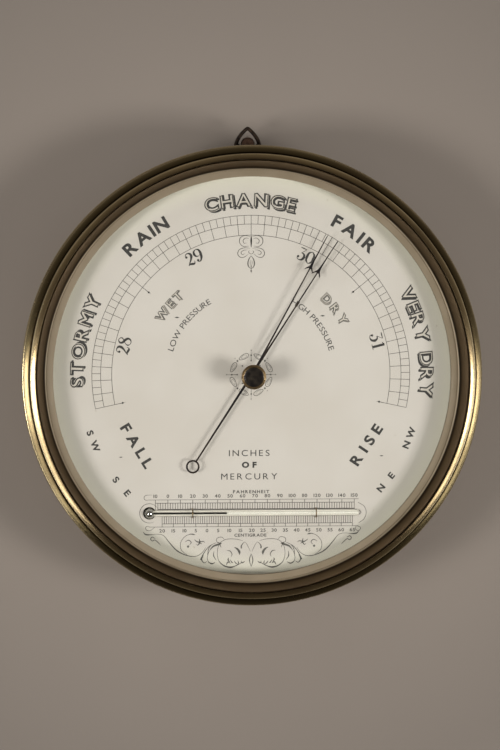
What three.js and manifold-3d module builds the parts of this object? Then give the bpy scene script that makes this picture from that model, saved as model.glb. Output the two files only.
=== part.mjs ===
// A marine aneroid barometer with an eight-inch dial, in millimetres.
// The wall is the plane y = 0, the dial faces -y and +z is up. The origin is the centre of the back.
// Outlines of turned pieces are pairs of a radius and a distance from the wall.
import * as THREE from 'three';
import { mergeVertices } from 'three/addons/utils/BufferGeometryUtils.js';
import Module from 'manifold-3d';

const wasm = await Module();
wasm.setup();

// Clearances, and how far a cut runs past the face that it opens
const seat = 0.2;
const fit = 0.3;
const overrun = 1;

// Sides of round pieces, by their size
const sides = { ring: 52, wheel: 24, post: 12, wire: 8 };

// The front: opening of the bezel, glass and dial
const opening = { radius: 106 };
const drum = { rim: 1.7, wall: 1.6, flangeWidth: 9, flangeThickness: 1.6 };
const backPlate = { thickness: 2 };
const dial = { thickness: 1.6, recess: 2, holeRadius: 3 };
const glass = {
  seatWidth: 1, thickness: 3.6, aboveDial: 9, bevelWidth: 3.7, bevelDrop: 1.7, holeRoom: 0.6,
};
const bezel = {
  standProud: 7.6, height: 23, lipWidth: 1, lipThickness: 1.2, slopeWidth: 3.7, slopeDrop: 1.8,
  innerGrooveWidth: 0.8, innerGrooveDrop: 3, beadWidth: 3.2, beadRise: 2, outerGrooveWidth: 0.7,
  outerGrooveDrop: 4.6, bandWidth: 2, bandDrop: 4, bandFall: 4, edgeWidth: 0.8, edgeHeight: 2.6,
  skirtChamfer: 1,
};
const ledge = { width: 6.5, thickness: 2 };
const sightRing = { footWidth: 3.4, topWidth: 0.9 };
const retainer = { width: 1.9, thickness: 1.3 };

// The hands, their spindle and the knob
const hand = {
  thickness: 0.5, tipInset: 24, tipHalfWidth: 0.25, hubWidth: 1.1, rootHalfWidth: 0.75,
  headFromTip: 18, headLength: 5, headHalfWidth: 1.5, barbFromTip: 21, barbHalfWidth: 2.4,
  neckHalfWidth: 0.4,
};
const tail = { reach: 56, ringRadius: 3.45, wireWidth: 0.9, halfWidth: 0.55 };
const pressureHand = { aboveDial: 3.6, readingDegrees: 32.8 };
const setHand = { abovePressureHand: 1.7, readingDegrees: 28.5 };
const collet = { radius: 2, length: 1.5 };
const spindle = { radius: 1.6, headRadius: 2.6, headThickness: 0.6, intoKnob: 3 };
const spindleNut = { width: 2.3 };
const washer = { width: 2.7, thickness: 0.7 };
const knob = {
  radius: 6.3, height: 8, waistRadius: 4.1, waistHeight: 3, footRadius: 5, footHeight: 1.2,
  rimWidth: 1.25, dishDepth: 0.6, dishFloorShare: 0.5, edgeRound: 0.5,
  flangeHeight: 2.6,
};

// The thermometer on the dial
const thermometer = {
  fromOpening: 34.6, bulbFromSide: 25.8, endFromSide: 22.8, tubeRadius: 1.5, boreRadius: 0.6,
  bulbRadius: 2.6, bulbWall: 0.3, bulbHoleRoom: 0.6, threadRadius: 0.25, threadLength: 39.9, bulbSteps: 5,
};
const staple = { wireRadius: 0.3, legSpread: 2.3, fromEnds: { left: 22.2, right: 22.1 }, steps: 14 };

// The movement: what stands on the base plate
const basePlate = { margin: 11, thickness: 2.5 };
const spacer = { radius: 4, height: 3 };
const movementScrew = { inset: 8, degrees: [60, 180, 300] };
const screw = { radius: 1.5, headRadius: 3.1, headHeight: 1.6, slotWidth: 0.8, slotDepth: 0.7 };
const backScrew = { count: 4, firstDegrees: 45, length: 6 };
const regulator = { headRadius: 2.8, headThickness: 2.2, shankRadius: 1.5, inset: 0.4 };
const capsule = {
  centreX: 20, centreZ: 6, radius: 32, rimWidth: 2, shell: 0.4, rise: 4.2, wave: 0.7, rings: 3,
  waveSteps: 4,
};
const post = { radius: 1.6, footRadius: 5, footThickness: 1.2, aboveSpring: 2.4, footGap: 0.5 };
const pin = { radius: 0.6, length: 6 };
const mainspring = {
  width: 26, thickness: 1.6, bendRadius: 2.8, pastPost: 6, bendFromPost: 40, lowerLength: 7,
};
const bridge = { fromCapsule: 2, width: 34, length: 9, height: 7.4, archWidth: 16, archHeight: 4 };
const lever = {
  thickness: 2, sideWidth: 2.2, tipHalfWidth: 2.2, pastCapsule: 14.5, windowRoom: 0.8,
  linkInset: 1.5, rootInset: 10,
};
const leverScrew = { radius: 0.9, headRadius: 1.9, headThickness: 1.3, fromPost: [12, 21] };
const link = { radius: 0.6, gapToArm: 0.5 };
const rocker = {
  aboveLever: 5.3, radius: 1, pivotRadius: 0.5, pivotLength: 2, halfLength: 13, offsetZ: 2, fromLink: 2.5,
  armLength: 8, armWidth: 2, armThickness: 0.8, shortArmLength: 3.2, shortArmThickness: 1, pinRadius: 0.35,
};
const rockerPost = { radius: 2.4, aboveAxis: 2 };
const chain = {
  thickness: 0.5, halfHeight: 0.5, waistHalfHeight: 0.3, eyeHalfWidth: 1.35,
  eyeHalfHeight: 2, slotHalfWidth: 0.75, slotHalfHeight: 1.4, links: 8,
};
const arbor = {
  radius: 1, pivotRadius: 0.5, drumRadius: 0.8, drumWidth: 2, flangeRadius: 1.6, flangeThickness: 0.4,
  hubRadius: 1.5, hubLength: 1,
};
const lowerPlate = { width: 14, pastPillar: 2.5, thickness: 1.5, underDrum: 2.8 };
const pillar = { radius: 2.5, pastCapsule: 1 };
const cock = {
  width: 8, halfLength: 18, legLength: 4, thickness: 1.4, aboveDrum: 3.4, underDial: 0.4,
};
const hairspring = {
  innerRadius: 2.2, outerRadius: 8, turns: 4, ribbon: 0.3, height: 0.6, stepsPerTurn: 20,
};
const stud = { radius: 0.7, length: 2.2 };

// The hanging bow and its stud, at the top of the drum
const pendant = {
  fromWall: 20, flangeRadius: 5.5, flangeHeight: 1.6, stemRadius: 3.7, height: 12.7, shankRadius: 2,
  shankLength: 4.5, pinHeight: 6.5,
};
const bow = {
  wireRadius: 1.15, legSpread: 5.4, bulge: 0.9, height: 10.45, shoulderHeight: 6.4, eyeRadius: 2.7,
  pinRadius: 1.1, pinOverhang: 0.5, tipRound: 0.5, steps: 22,
};

// Places that follow from the sizes above
const glassRadius = opening.radius + glass.seatWidth;
const glassFlatRadius = opening.radius - glass.bevelWidth;
const pocketRadius = glassRadius + fit;
const drumRadius = pocketRadius + drum.rim;
const drumBore = drumRadius - drum.wall;
const dialRadius = drumBore - fit;
const spindleBore = spindle.radius + fit;
const hubRadius = spindleBore + hand.hubWidth;
const tipReach = opening.radius - hand.tipInset;
const tubeZ = thermometer.fromOpening - opening.radius;
const halfChord = Math.sqrt(opening.radius ** 2 - tubeZ ** 2);
const bulbX = thermometer.bulbFromSide - halfChord;
const tubeEndX = halfChord - thermometer.endFromSide;

// Places across the movement
const springX = capsule.centreX + mainspring.bendFromPost;
const bridgeX = capsule.centreX + capsule.radius + bridge.fromCapsule + bridge.length / 2;
const leverTipX = capsule.centreX - capsule.radius - lever.pastCapsule;
const linkX = leverTipX + lever.linkInset;
const rockerX = linkX + rocker.fromLink;
const chainZ = -(arbor.drumRadius + fit + chain.thickness / 2);
const pillarZ = capsule.centreZ + capsule.radius + pillar.pastCapsule;
const movementLeft = rockerX - rockerPost.radius;
const movementRight = bridgeX + bridge.length / 2;
const basePlateX = (movementLeft + movementRight) / 2;
const basePlateRadius = (movementRight - movementLeft) / 2 + basePlate.margin;

// Distances from the wall, from the back to the front
const drumBack = backPlate.thickness + seat;
const basePlateBack = backPlate.thickness + seat + spacer.height + seat;
const basePlateFront = basePlateBack + basePlate.thickness;
const capsuleBack = basePlateFront + seat;
const capsuleRim = capsuleBack + capsule.rise;
const capsuleFront = capsuleRim + seat + capsule.rise;
const springLowerBack = capsuleBack + bridge.height + seat;
const springMiddle = springLowerBack + mainspring.thickness + mainspring.bendRadius;
const springFront = springMiddle + mainspring.bendRadius + mainspring.thickness;
const leverBack = springFront + seat;
const leverFront = leverBack + lever.thickness;
const rockerAxis = leverFront + rocker.aboveLever;
const drumMiddle = rockerAxis + rocker.armLength;
const lowerPlateFront = drumMiddle - arbor.drumWidth / 2 - lowerPlate.underDrum;
const lowerPlateBack = lowerPlateFront - lowerPlate.thickness;
const cockBack = drumMiddle + arbor.drumWidth / 2 + cock.aboveDrum;
const cockFront = cockBack + cock.thickness;
const dialBack = cockFront + cock.underDial;
const dialFront = dialBack + dial.thickness;
const drumFront = dialFront + dial.recess;
const pressureHandBack = dialFront + pressureHand.aboveDial;
const pressureHandFront = pressureHandBack + hand.thickness;
const setHandBack = pressureHandFront + setHand.abovePressureHand;
const glassBack = dialFront + glass.aboveDial;
const glassFront = glassBack + glass.thickness;
const glassRimFront = glassFront - glass.bevelDrop;
const bezelCrest = glassFront + bezel.standProud;
const bezelBack = bezelCrest - bezel.height;

// The bow's pin, above the drum
const pendantFoot = drumRadius + seat;
const bowPinZ = pendantFoot + pendant.pinHeight;

// How far each piece of the linkage moves for one turn or one radian of the pressure hand
const chainRadius = -chainZ;
const rockerRatio = -chainRadius / rocker.armLength;
const leverRatio = (rockerRatio * rocker.fromLink) / (springX - linkX);
const postRatio = -leverRatio * mainspring.bendFromPost;

// Colours and finishes
const finishes = {
  brass: { color: 0x9c7a3f, roughness: 0.35, metalness: 1 },
  darkBrass: { color: 0x5e4a2c, roughness: 0.45, metalness: 1 },
  blackened: { color: 0x1c1c20, roughness: 0.4, metalness: 0.8 },
  steel: { color: 0x8c8f93, roughness: 0.35, metalness: 1 },
  cream: { color: 0xcbc2b0, roughness: 0.6, metalness: 0 },
  putty: { color: 0x8c7f6a, roughness: 0.6, metalness: 0 },
  nickel: { color: 0xa9a9a4, roughness: 0.3, metalness: 1 },
  mercury: { color: 0x9ea0a3, roughness: 0.1, metalness: 1 },
  clear: { color: 0xdfe6e4, roughness: 0.05, metalness: 0 },
};

const barometer = new THREE.Group();

function addPiece(name, geometry, finish) {
  const mesh = new THREE.Mesh(geometry, new THREE.MeshStandardMaterial(finishes[finish]));
  mesh.name = name;
  barometer.add(mesh);
  return mesh;
}

// An outline in counter-clockwise order, which makes a turned or extruded face point outwards
function counterClockwise(points) {
  return THREE.ShapeUtils.area(points) < 0 ? points.slice().reverse() : points;
}

// A lathe about +y from pairs of a radius and a height. A ring's outline closes on itself.
function lathe(outline, steps) {
  const points = counterClockwise(outline.map(([radius, height]) => new THREE.Vector2(radius, height)));
  const onAxis = points.findIndex((p, i) => p.x === 0 && points[(i + 1) % points.length].x === 0);
  const ordered = points.slice(onAxis + 1).concat(points.slice(0, onAxis + 1));
  if (onAxis < 0) ordered.push(ordered[0].clone());
  return new THREE.LatheGeometry(ordered, steps);
}

// A piece turned about the line through the dial's centre, from radii and distances from the wall
function turned(outline, steps) {
  return lathe(outline.map(([radius, distance]) => [radius, -distance]), steps);
}

function tube(inner, outer, back, front) {
  return [[inner, back], [outer, back], [outer, front], [inner, front]];
}

function rod(radius, back, front) {
  return [[0, back], [radius, back], [radius, front], [0, front]];
}

// Points of an arc about a centre, by angles in degrees from the first axis
function arc(centreX, centreY, radiusX, radiusY, from, to, steps) {
  return Array.from({ length: steps + 1 }, (_, i) => {
    const angle = THREE.MathUtils.degToRad(from + ((to - from) * i) / steps);
    return [centreX + radiusX * Math.cos(angle), centreY + radiusY * Math.sin(angle)];
  });
}

function circle(centreX, centreY, radius, steps) {
  return arc(centreX, centreY, radius, radius, 0, 360, steps).slice(0, steps);
}

function shapeOf(points, holes = []) {
  const vectors = (list) => list.map(([x, y]) => new THREE.Vector2(x, y));
  const shape = new THREE.Shape(vectors(points));
  shape.holes = holes.map((hole) => new THREE.Path(vectors(hole)));
  return shape;
}

// A flat piece seen as drawn from the front, from its back face towards the viewer
function facePlate(shape, back, thickness) {
  const geometry = new THREE.ExtrudeGeometry(shape, { depth: thickness, bevelEnabled: false });
  return geometry.rotateX(Math.PI / 2).translate(0, -back, 0);
}

// A piece drawn from above in x and distance from the wall, of an even height about a middle z
function sidePlate(points, middleZ, height) {
  const shape = shapeOf(points.map(([x, distance]) => [x, -distance]));
  const geometry = new THREE.ExtrudeGeometry(shape, { depth: height, bevelEnabled: false });
  return geometry.translate(0, 0, middleZ - height / 2);
}

// A piece drawn in z and distance from the wall, of an even width about a middle x
function endPlate(points, middleX, width) {
  const geometry = new THREE.ExtrudeGeometry(shapeOf(points), { depth: width, bevelEnabled: false });
  const axes = [[0, 0, 1], [0, -1, 0], [1, 0, 0]].map((axis) => new THREE.Vector3(...axis));
  const turn = new THREE.Matrix4().makeBasis(...axes);
  return geometry.translate(0, 0, middleX - width / 2).applyMatrix4(turn);
}

function box(x, distance, z, width, depth, height) {
  return new THREE.BoxGeometry(width, depth, height).translate(x, -distance, z);
}

// A rod along an axis, from a start to an end on it
function rodAlong(axis, radius, from, to, steps) {
  const geometry = new THREE.CylinderGeometry(radius, radius, to - from, steps);
  geometry.translate(0, (from + to) / 2, 0);
  if (axis === 'x') geometry.rotateZ(-Math.PI / 2);
  if (axis === 'z') geometry.rotateX(Math.PI / 2);
  return geometry;
}

// Booleans
function toSolid(geometry) {
  const bare = geometry.clone();
  bare.deleteAttribute('normal');
  bare.deleteAttribute('uv');
  const merged = mergeVertices(bare);
  const index = merged.index.array;
  const kept = [];
  for (let i = 0; i < index.length; i += 3) {
    const [a, b, c] = [index[i], index[i + 1], index[i + 2]];
    if (a !== b && b !== c && c !== a) kept.push(a, b, c);
  }
  return new wasm.Manifold(new wasm.Mesh({
    numProp: 3,
    vertProperties: merged.attributes.position.array,
    triVerts: new Uint32Array(kept),
  }));
}

function fromSolid(solid) {
  const mesh = solid.getMesh();
  const geometry = new THREE.BufferGeometry();
  geometry.setAttribute('position', new THREE.BufferAttribute(mesh.vertProperties, 3));
  geometry.setIndex(new THREE.BufferAttribute(mesh.triVerts, 1));
  geometry.computeVertexNormals();
  return geometry;
}

function cut(geometry, cutters) {
  return fromSolid(cutters.reduce((solid, cutter) => solid.subtract(toSolid(cutter)), toSolid(geometry)));
}

function join(geometries) {
  const [first, ...rest] = geometries.map(toSolid);
  return fromSolid(rest.reduce((solid, next) => solid.add(next), first));
}

// Where the screws of the back go, seen from the front
function around(radius, degrees, centreX = 0) {
  const angle = THREE.MathUtils.degToRad(degrees);
  return [centreX + radius * Math.cos(angle), radius * Math.sin(angle)];
}
const backScrewPlaces = Array.from({ length: backScrew.count }, (_, i) =>
  around(drumRadius - drum.flangeWidth / 2, backScrew.firstDegrees + (360 * i) / backScrew.count));
const movementScrewPlaces = movementScrew.degrees.map((degrees) =>
  around(basePlateRadius - movementScrew.inset, degrees, basePlateX));

// A countersunk screw whose head lies in the back plate, or the room that it needs
function backScrewShape(front, room) {
  const head = room ? -overrun : seat;
  const topRadius = screw.headRadius + room;
  const shank = screw.radius + room;
  const outline = [
    [0, head], [topRadius, head], [topRadius, seat + room], [shank, screw.headHeight + room],
    [shank, front + room], [0, front + room],
  ];
  return turned(outline, sides.post);
}

function slotFor(radius, back) {
  return box(0, back + screw.slotDepth / 2 - overrun / 2, 0,
    2 * radius + overrun, screw.slotDepth + overrun, screw.slotWidth);
}

// Case: back plate, drum, ledge and their screws
function addCase() {
  const movementRoom = backScrewShape(basePlateFront, fit);
  const plateCuts = [...backScrewPlaces, ...movementScrewPlaces].map(([x, z]) =>
    movementRoom.clone().translate(x, 0, z));
  const regulatorHole = turned(rod(regulator.headRadius + fit, -overrun, backPlate.thickness + overrun),
    sides.post);
  plateCuts.push(regulatorHole.translate(bridgeX, 0, capsule.centreZ));
  const plate = turned(rod(drumRadius, 0, backPlate.thickness), sides.ring);
  addPiece('back_plate', cut(plate, plateCuts), 'darkBrass');

  const flangeFront = drumBack + drum.flangeThickness;
  const flangeBore = drumRadius - drum.flangeWidth;
  const wall = turned([
    [flangeBore, drumBack], [drumRadius, drumBack], [drumRadius, drumFront], [drumBore, drumFront],
    [drumBore, flangeFront], [flangeBore, flangeFront],
  ], sides.ring);
  const screwHole = turned(rod(screw.radius + fit, drumBack - overrun, flangeFront + overrun), sides.post);
  const shankHole = rodAlong('z', pendant.shankRadius + fit, drumBore - overrun, drumRadius + overrun,
    sides.post).translate(0, -pendant.fromWall, 0);
  const drumCuts = backScrewPlaces.map(([x, z]) => screwHole.clone().translate(x, 0, z));
  addPiece('case_drum', cut(wall, [...drumCuts, shankHole]), 'darkBrass');

  const slot = slotFor(screw.headRadius, seat);
  backScrewPlaces.forEach(([x, z], i) => {
    const body = cut(backScrewShape(backScrew.length, 0), [slot]);
    addPiece(`back_screw_${i + 1}`, body, 'brass').position.set(x, 0, z);
  });

  const ledgeFront = dialBack - seat;
  const ledgeOutline = tube(dialRadius - ledge.width, dialRadius, ledgeFront - ledge.thickness, ledgeFront);
  addPiece('dial_ledge', turned(ledgeOutline, sides.ring), 'darkBrass');
}

// Bezel: skirt, side, rolled edge, band, bead between two grooves, slope and lip
function bezelOutline() {
  const lip = opening.radius + bezel.lipWidth;
  const slope = lip + bezel.slopeWidth;
  const bead = slope + bezel.innerGrooveWidth;
  const beadEnd = bead + bezel.beadWidth;
  const band = beadEnd + bezel.outerGrooveWidth;
  const edge = band + bezel.bandWidth;
  const outer = edge + bezel.edgeWidth;
  const bevelAtOpening = (glass.bevelDrop * glass.bevelWidth) / (glass.bevelWidth + glass.seatWidth);
  const lipBack = glassFront - bevelAtOpening + seat;
  const lipFront = lipBack + bezel.lipThickness;
  const slopeTop = bezelCrest - bezel.slopeDrop;
  const beadFoot = bezelCrest - bezel.beadRise;
  const bandTop = bezelCrest - bezel.bandDrop;
  const bandFoot = bandTop - bezel.bandFall;
  const edgeMiddle = bandFoot - bezel.edgeHeight / 2;
  const skirtBore = drumRadius + fit;
  const shoulder = drumFront + fit;
  return [
    [opening.radius, lipBack], [pocketRadius, lipBack], [pocketRadius, shoulder], [skirtBore, shoulder],
    [skirtBore, bezelBack], [edge - bezel.skirtChamfer, bezelBack], [edge, bezelBack + bezel.skirtChamfer],
    ...arc(edge, edgeMiddle, bezel.edgeWidth, bezel.edgeHeight / 2, -90, 90, 4),
    ...arc(band, bandFoot, outer - bezel.edgeWidth - band, bezel.bandFall, 30, 90, 3),
    [band - bezel.outerGrooveWidth / 2, bezelCrest - bezel.outerGrooveDrop],
    ...arc((bead + beadEnd) / 2, beadFoot, bezel.beadWidth / 2, bezel.beadRise, 0, 180, 6),
    [bead - bezel.innerGrooveWidth / 2, bezelCrest - bezel.innerGrooveDrop],
    ...arc(slope, lipFront, bezel.slopeWidth, slopeTop - lipFront, 90, 180, 4),
    [opening.radius, lipFront],
  ];
}

function addFront() {
  addPiece('bezel', turned(bezelOutline(), sides.ring), 'darkBrass');
  const glassOutline = [
    [spindle.radius + glass.holeRoom, glassBack], [glassRadius, glassBack], [glassRadius, glassRimFront],
    [glassFlatRadius, glassFront], [spindle.radius + glass.holeRoom, glassFront],
  ];
  addPiece('glass', turned(glassOutline, sides.ring), 'clear');
  const retainerFront = glassBack - seat;
  const retainerBack = retainerFront - retainer.thickness;
  const retainerOutline = tube(glassRadius - retainer.width, glassRadius, retainerBack, retainerFront);
  addPiece('glass_retaining_ring', turned(retainerOutline, sides.ring), 'brass');
  const ringFront = retainerBack - seat;
  const ringBack = dialFront + seat;
  addPiece('sight_ring', turned([
    [dialRadius - sightRing.footWidth, ringBack], [dialRadius, ringBack], [dialRadius, ringFront],
    [dialRadius - sightRing.topWidth, ringFront],
  ], sides.ring), 'putty');
  const dialHoles = [
    circle(0, 0, dial.holeRadius, sides.post),
    circle(bulbX, tubeZ, thermometer.bulbRadius + thermometer.bulbHoleRoom, sides.post),
  ];
  const dialShape = shapeOf(circle(0, 0, dialRadius, sides.ring), dialHoles);
  addPiece('dial_plate', facePlate(dialShape, dialBack, dial.thickness), 'cream');
}

// A hand drawn pointing up: root, neck, barbed head and tip, with the hub's outline below
function handOutline() {
  const h = hand;
  const barbs = tipReach - h.barbFromTip;
  const head = tipReach - h.headFromTip;
  const right = [
    [h.rootHalfWidth, hubRadius], [h.neckHalfWidth, barbs + h.headLength / 4],
    [h.barbHalfWidth, barbs], [h.headHalfWidth, head], [h.neckHalfWidth, head + h.headLength],
    [h.tipHalfWidth, tipReach],
  ];
  const left = right.map(([x, y]) => [-x, y]).reverse();
  const opened = THREE.MathUtils.radToDeg(Math.acos(h.rootHalfWidth / hubRadius));
  return [...right, ...left, ...arc(0, 0, hubRadius, hubRadius, 180 - opened, 360 + opened, 12)];
}

function tailedHand(back) {
  const { reach, ringRadius, wireWidth, halfWidth } = tail;
  const hubHole = circle(0, 0, arbor.radius + fit, sides.post);
  const blade = facePlate(shapeOf(handOutline(), [hubHole]), back, hand.thickness);
  const stemFoot = reach - ringRadius + wireWidth / 2;
  const stemRoot = hand.hubWidth / 2 - hubRadius;
  const stem = shapeOf([
    [-hand.rootHalfWidth, stemRoot], [-halfWidth, -stemFoot], [halfWidth, -stemFoot],
    [hand.rootHalfWidth, stemRoot],
  ]);
  const ring = shapeOf(circle(0, -reach, ringRadius, sides.post),
    [circle(0, -reach, ringRadius - wireWidth, sides.post)]);
  return join([blade, facePlate(stem, back, hand.thickness), facePlate(ring, back, hand.thickness)]);
}

function addHands() {
  const pressure = addPiece('pressure_hand', tailedHand(pressureHandBack), 'blackened');
  pressure.rotation.y = THREE.MathUtils.degToRad(pressureHand.readingDegrees);
  const setHole = circle(0, 0, spindleBore, sides.post);
  const setShape = shapeOf(handOutline(), [setHole]);
  const set = addPiece('set_hand', facePlate(setShape, setHandBack, hand.thickness), 'blackened');
  set.rotation.y = THREE.MathUtils.degToRad(setHand.readingDegrees);

  const colletFront = pressureHandBack - seat;
  addPiece('hand_collet',
    turned(tube(arbor.radius + fit, collet.radius, colletFront - collet.length, colletFront), sides.post),
    'brass');

  const knobBack = glassFront + seat + washer.thickness + seat;
  const knobFront = knobBack + knob.height;
  const headFront = setHandBack - seat;
  const shankFront = knobBack + spindle.intoKnob;
  addPiece('set_hand_spindle', turned([
    [0, headFront - spindle.headThickness], [spindle.headRadius, headFront - spindle.headThickness],
    [spindle.headRadius, headFront], [spindle.radius, headFront], [spindle.radius, shankFront],
    [0, shankFront],
  ], sides.post), 'brass');
  const nutBack = setHandBack + hand.thickness + seat;
  const nutOutline = tube(spindleBore, spindleBore + spindleNut.width, nutBack, glassBack - seat);
  addPiece('spindle_nut', turned(nutOutline, sides.post), 'brass');
  addPiece('knob_washer', turned(tube(spindleBore, spindleBore + washer.width, glassFront + seat,
    glassFront + seat + washer.thickness), sides.wheel), 'darkBrass');
  const { radius, waistRadius, waistHeight, footRadius, footHeight, flangeHeight } = knob;
  const dishRadius = radius - knob.rimWidth;
  const waist = knobBack + waistHeight;
  const flange = knobFront - flangeHeight;
  addPiece('set_hand_knob', turned([
    [0, shankFront + seat], [spindleBore, shankFront + seat], [spindleBore, knobBack],
    [footRadius, knobBack], [footRadius, knobBack + footHeight],
    [waistRadius, waist], [radius - knob.edgeRound, flange],
    [radius, flange + knob.edgeRound], [radius, knobFront - knob.edgeRound],
    [radius - knob.edgeRound, knobFront], [dishRadius, knobFront],
    [dishRadius * knob.dishFloorShare, knobFront - knob.dishDepth],
    [0, knobFront - knob.dishDepth],
  ], sides.wheel), 'brass');
}

// Thermometer: turned about its own tube, from the bulb at the left
function addThermometer() {
  const t = thermometer;
  const length = tubeEndX - bulbX;
  const bulb = (radius, stem) => {
    const meet = THREE.MathUtils.radToDeg(Math.asin(stem / radius));
    return arc(0, 0, radius, radius, -90, 90 - meet, t.bulbSteps).map(([x, y]) => [Math.max(x, 0), y]);
  };
  const outer = [[0, -t.bulbRadius], ...bulb(t.bulbRadius, t.tubeRadius).slice(1), [t.tubeRadius, length]];
  const cavity = t.bulbRadius - t.bulbWall;
  const inner = [[0, -cavity], ...bulb(cavity, t.boreRadius).slice(1), [t.boreRadius, length]];
  const axis = dialFront + seat + t.tubeRadius;
  const place = (geometry) =>
    geometry.rotateZ(-Math.PI / 2).translate(bulbX, -axis, tubeZ);
  addPiece('thermometer_tube', place(lathe([...outer, ...inner.reverse()], sides.wire)), 'clear');
  const drop = cavity - fit;
  const mercury = [[0, -drop], ...bulb(drop, t.threadRadius).slice(1), [t.threadRadius, t.threadLength],
    [0, t.threadLength]];
  addPiece('thermometer_mercury', place(lathe(mercury, sides.wire)), 'mercury');

  const wire = shapeOf(circle(0, 0, staple.wireRadius, sides.wire));
  const archRadius = t.tubeRadius + fit + staple.wireRadius;
  const foot = dialFront + seat;
  const staplePlaces = { left: bulbX + staple.fromEnds.left, right: tubeEndX - staple.fromEnds.right };
  for (const [side, x] of Object.entries(staplePlaces)) {
    const over = arc(0, axis, archRadius, archRadius, 0, 180, 6);
    const route = [[staple.legSpread, foot], ...over, [-staple.legSpread, foot]];
    const path = new THREE.CurvePath();
    const points = route.map(([z, distance]) => new THREE.Vector3(x, -distance, z + tubeZ));
    points.slice(1).forEach((point, i) => path.add(new THREE.LineCurve3(points[i], point)));
    const geometry = new THREE.ExtrudeGeometry(wire,
      { steps: staple.steps, extrudePath: path, bevelEnabled: false });
    addPiece(`thermometer_staple_${side}`, geometry, 'darkBrass');
  }
}

// Base of the movement: plate, spacers, screws and regulating screw
function addBase() {
  const plateHoles = movementScrewPlaces.map(([x, z]) => circle(x, z, screw.radius + fit, sides.post));
  plateHoles.push(circle(bridgeX, capsule.centreZ, regulator.shankRadius + fit, sides.post));
  const shape = shapeOf(circle(basePlateX, 0, basePlateRadius, sides.wheel), plateHoles);
  addPiece('movement_base_plate', facePlate(shape, basePlateBack, basePlate.thickness), 'brass');
  const spacerBack = backPlate.thickness + seat;
  const ring = turned(tube(screw.radius + fit, spacer.radius, spacerBack, spacerBack + spacer.height),
    sides.post);
  const slot = slotFor(screw.headRadius, seat);
  movementScrewPlaces.forEach(([x, z], i) => {
    addPiece(`movement_spacer_${i + 1}`, ring.clone(), 'brass').position.set(x, 0, z);
    const body = cut(backScrewShape(basePlateFront, 0), [slot]);
    addPiece(`movement_screw_${i + 1}`, body, 'brass').position.set(x, 0, z);
  });
  const headFront = regulator.inset + regulator.headThickness;
  const regulatorScrew = cut(turned([
    [0, regulator.inset], [regulator.headRadius, regulator.inset], [regulator.headRadius, headFront],
    [regulator.shankRadius, headFront], [regulator.shankRadius, basePlateFront],
    [0, basePlateFront],
  ], sides.post), [slotFor(regulator.headRadius, regulator.inset)]);
  addPiece('regulating_screw', regulatorScrew, 'brass').position.set(bridgeX, 0, capsule.centreZ);
}

// A shell of the capsule from its centre to its rim, bulging towards the front or the back
function capsuleShell(rim, direction) {
  const { radius, rimWidth, shell, rise, wave, rings, waveSteps } = capsule;
  const steps = rings * waveSteps;
  const waved = radius - rimWidth;
  const skin = Array.from({ length: steps + 1 }, (_, i) => {
    const share = i / steps;
    const height = rise - shell - (rise - 2 * shell) * share ** 4;
    const ripple = wave * Math.sin(Math.PI * 2 * rings * share) * (1 - share) ** 0.5;
    return [waved * share, rim + direction * (height - Math.max(ripple, 0))];
  });
  skin.push([radius, rim + direction * shell]);
  const under = skin.map(([r, distance]) => [r, distance - direction * shell]).reverse();
  return turned([...skin, ...under], sides.wheel);
}

function addCapsule() {
  const move = (mesh) => mesh.position.set(capsule.centreX, 0, capsule.centreZ);
  move(addPiece('capsule_lower_shell', capsuleShell(capsuleRim, -1), 'nickel'));
  move(addPiece('capsule_upper_shell', capsuleShell(capsuleRim + seat, 1), 'nickel'));
  const footBack = capsuleFront + post.footGap;
  const pinMiddle = springFront + seat + pin.radius + fit;
  const column = turned([
    [0, footBack], [post.footRadius, footBack], [post.footRadius, footBack + post.footThickness],
    [post.radius, footBack + post.footThickness], [post.radius, springFront + post.aboveSpring],
    [0, springFront + post.aboveSpring],
  ], sides.post);
  const pinRoom = rodAlong('z', pin.radius + fit / 2, -pin.length, pin.length, sides.wire);
  move(addPiece('capsule_post', cut(column, [pinRoom.translate(0, -pinMiddle, 0)]), 'brass'));
  const knifePin = rodAlong('z', pin.radius, -pin.length / 2, pin.length / 2, sides.wire);
  move(addPiece('knife_edge_pin', knifePin.translate(0, -pinMiddle, 0), 'steel'));
}

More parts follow.
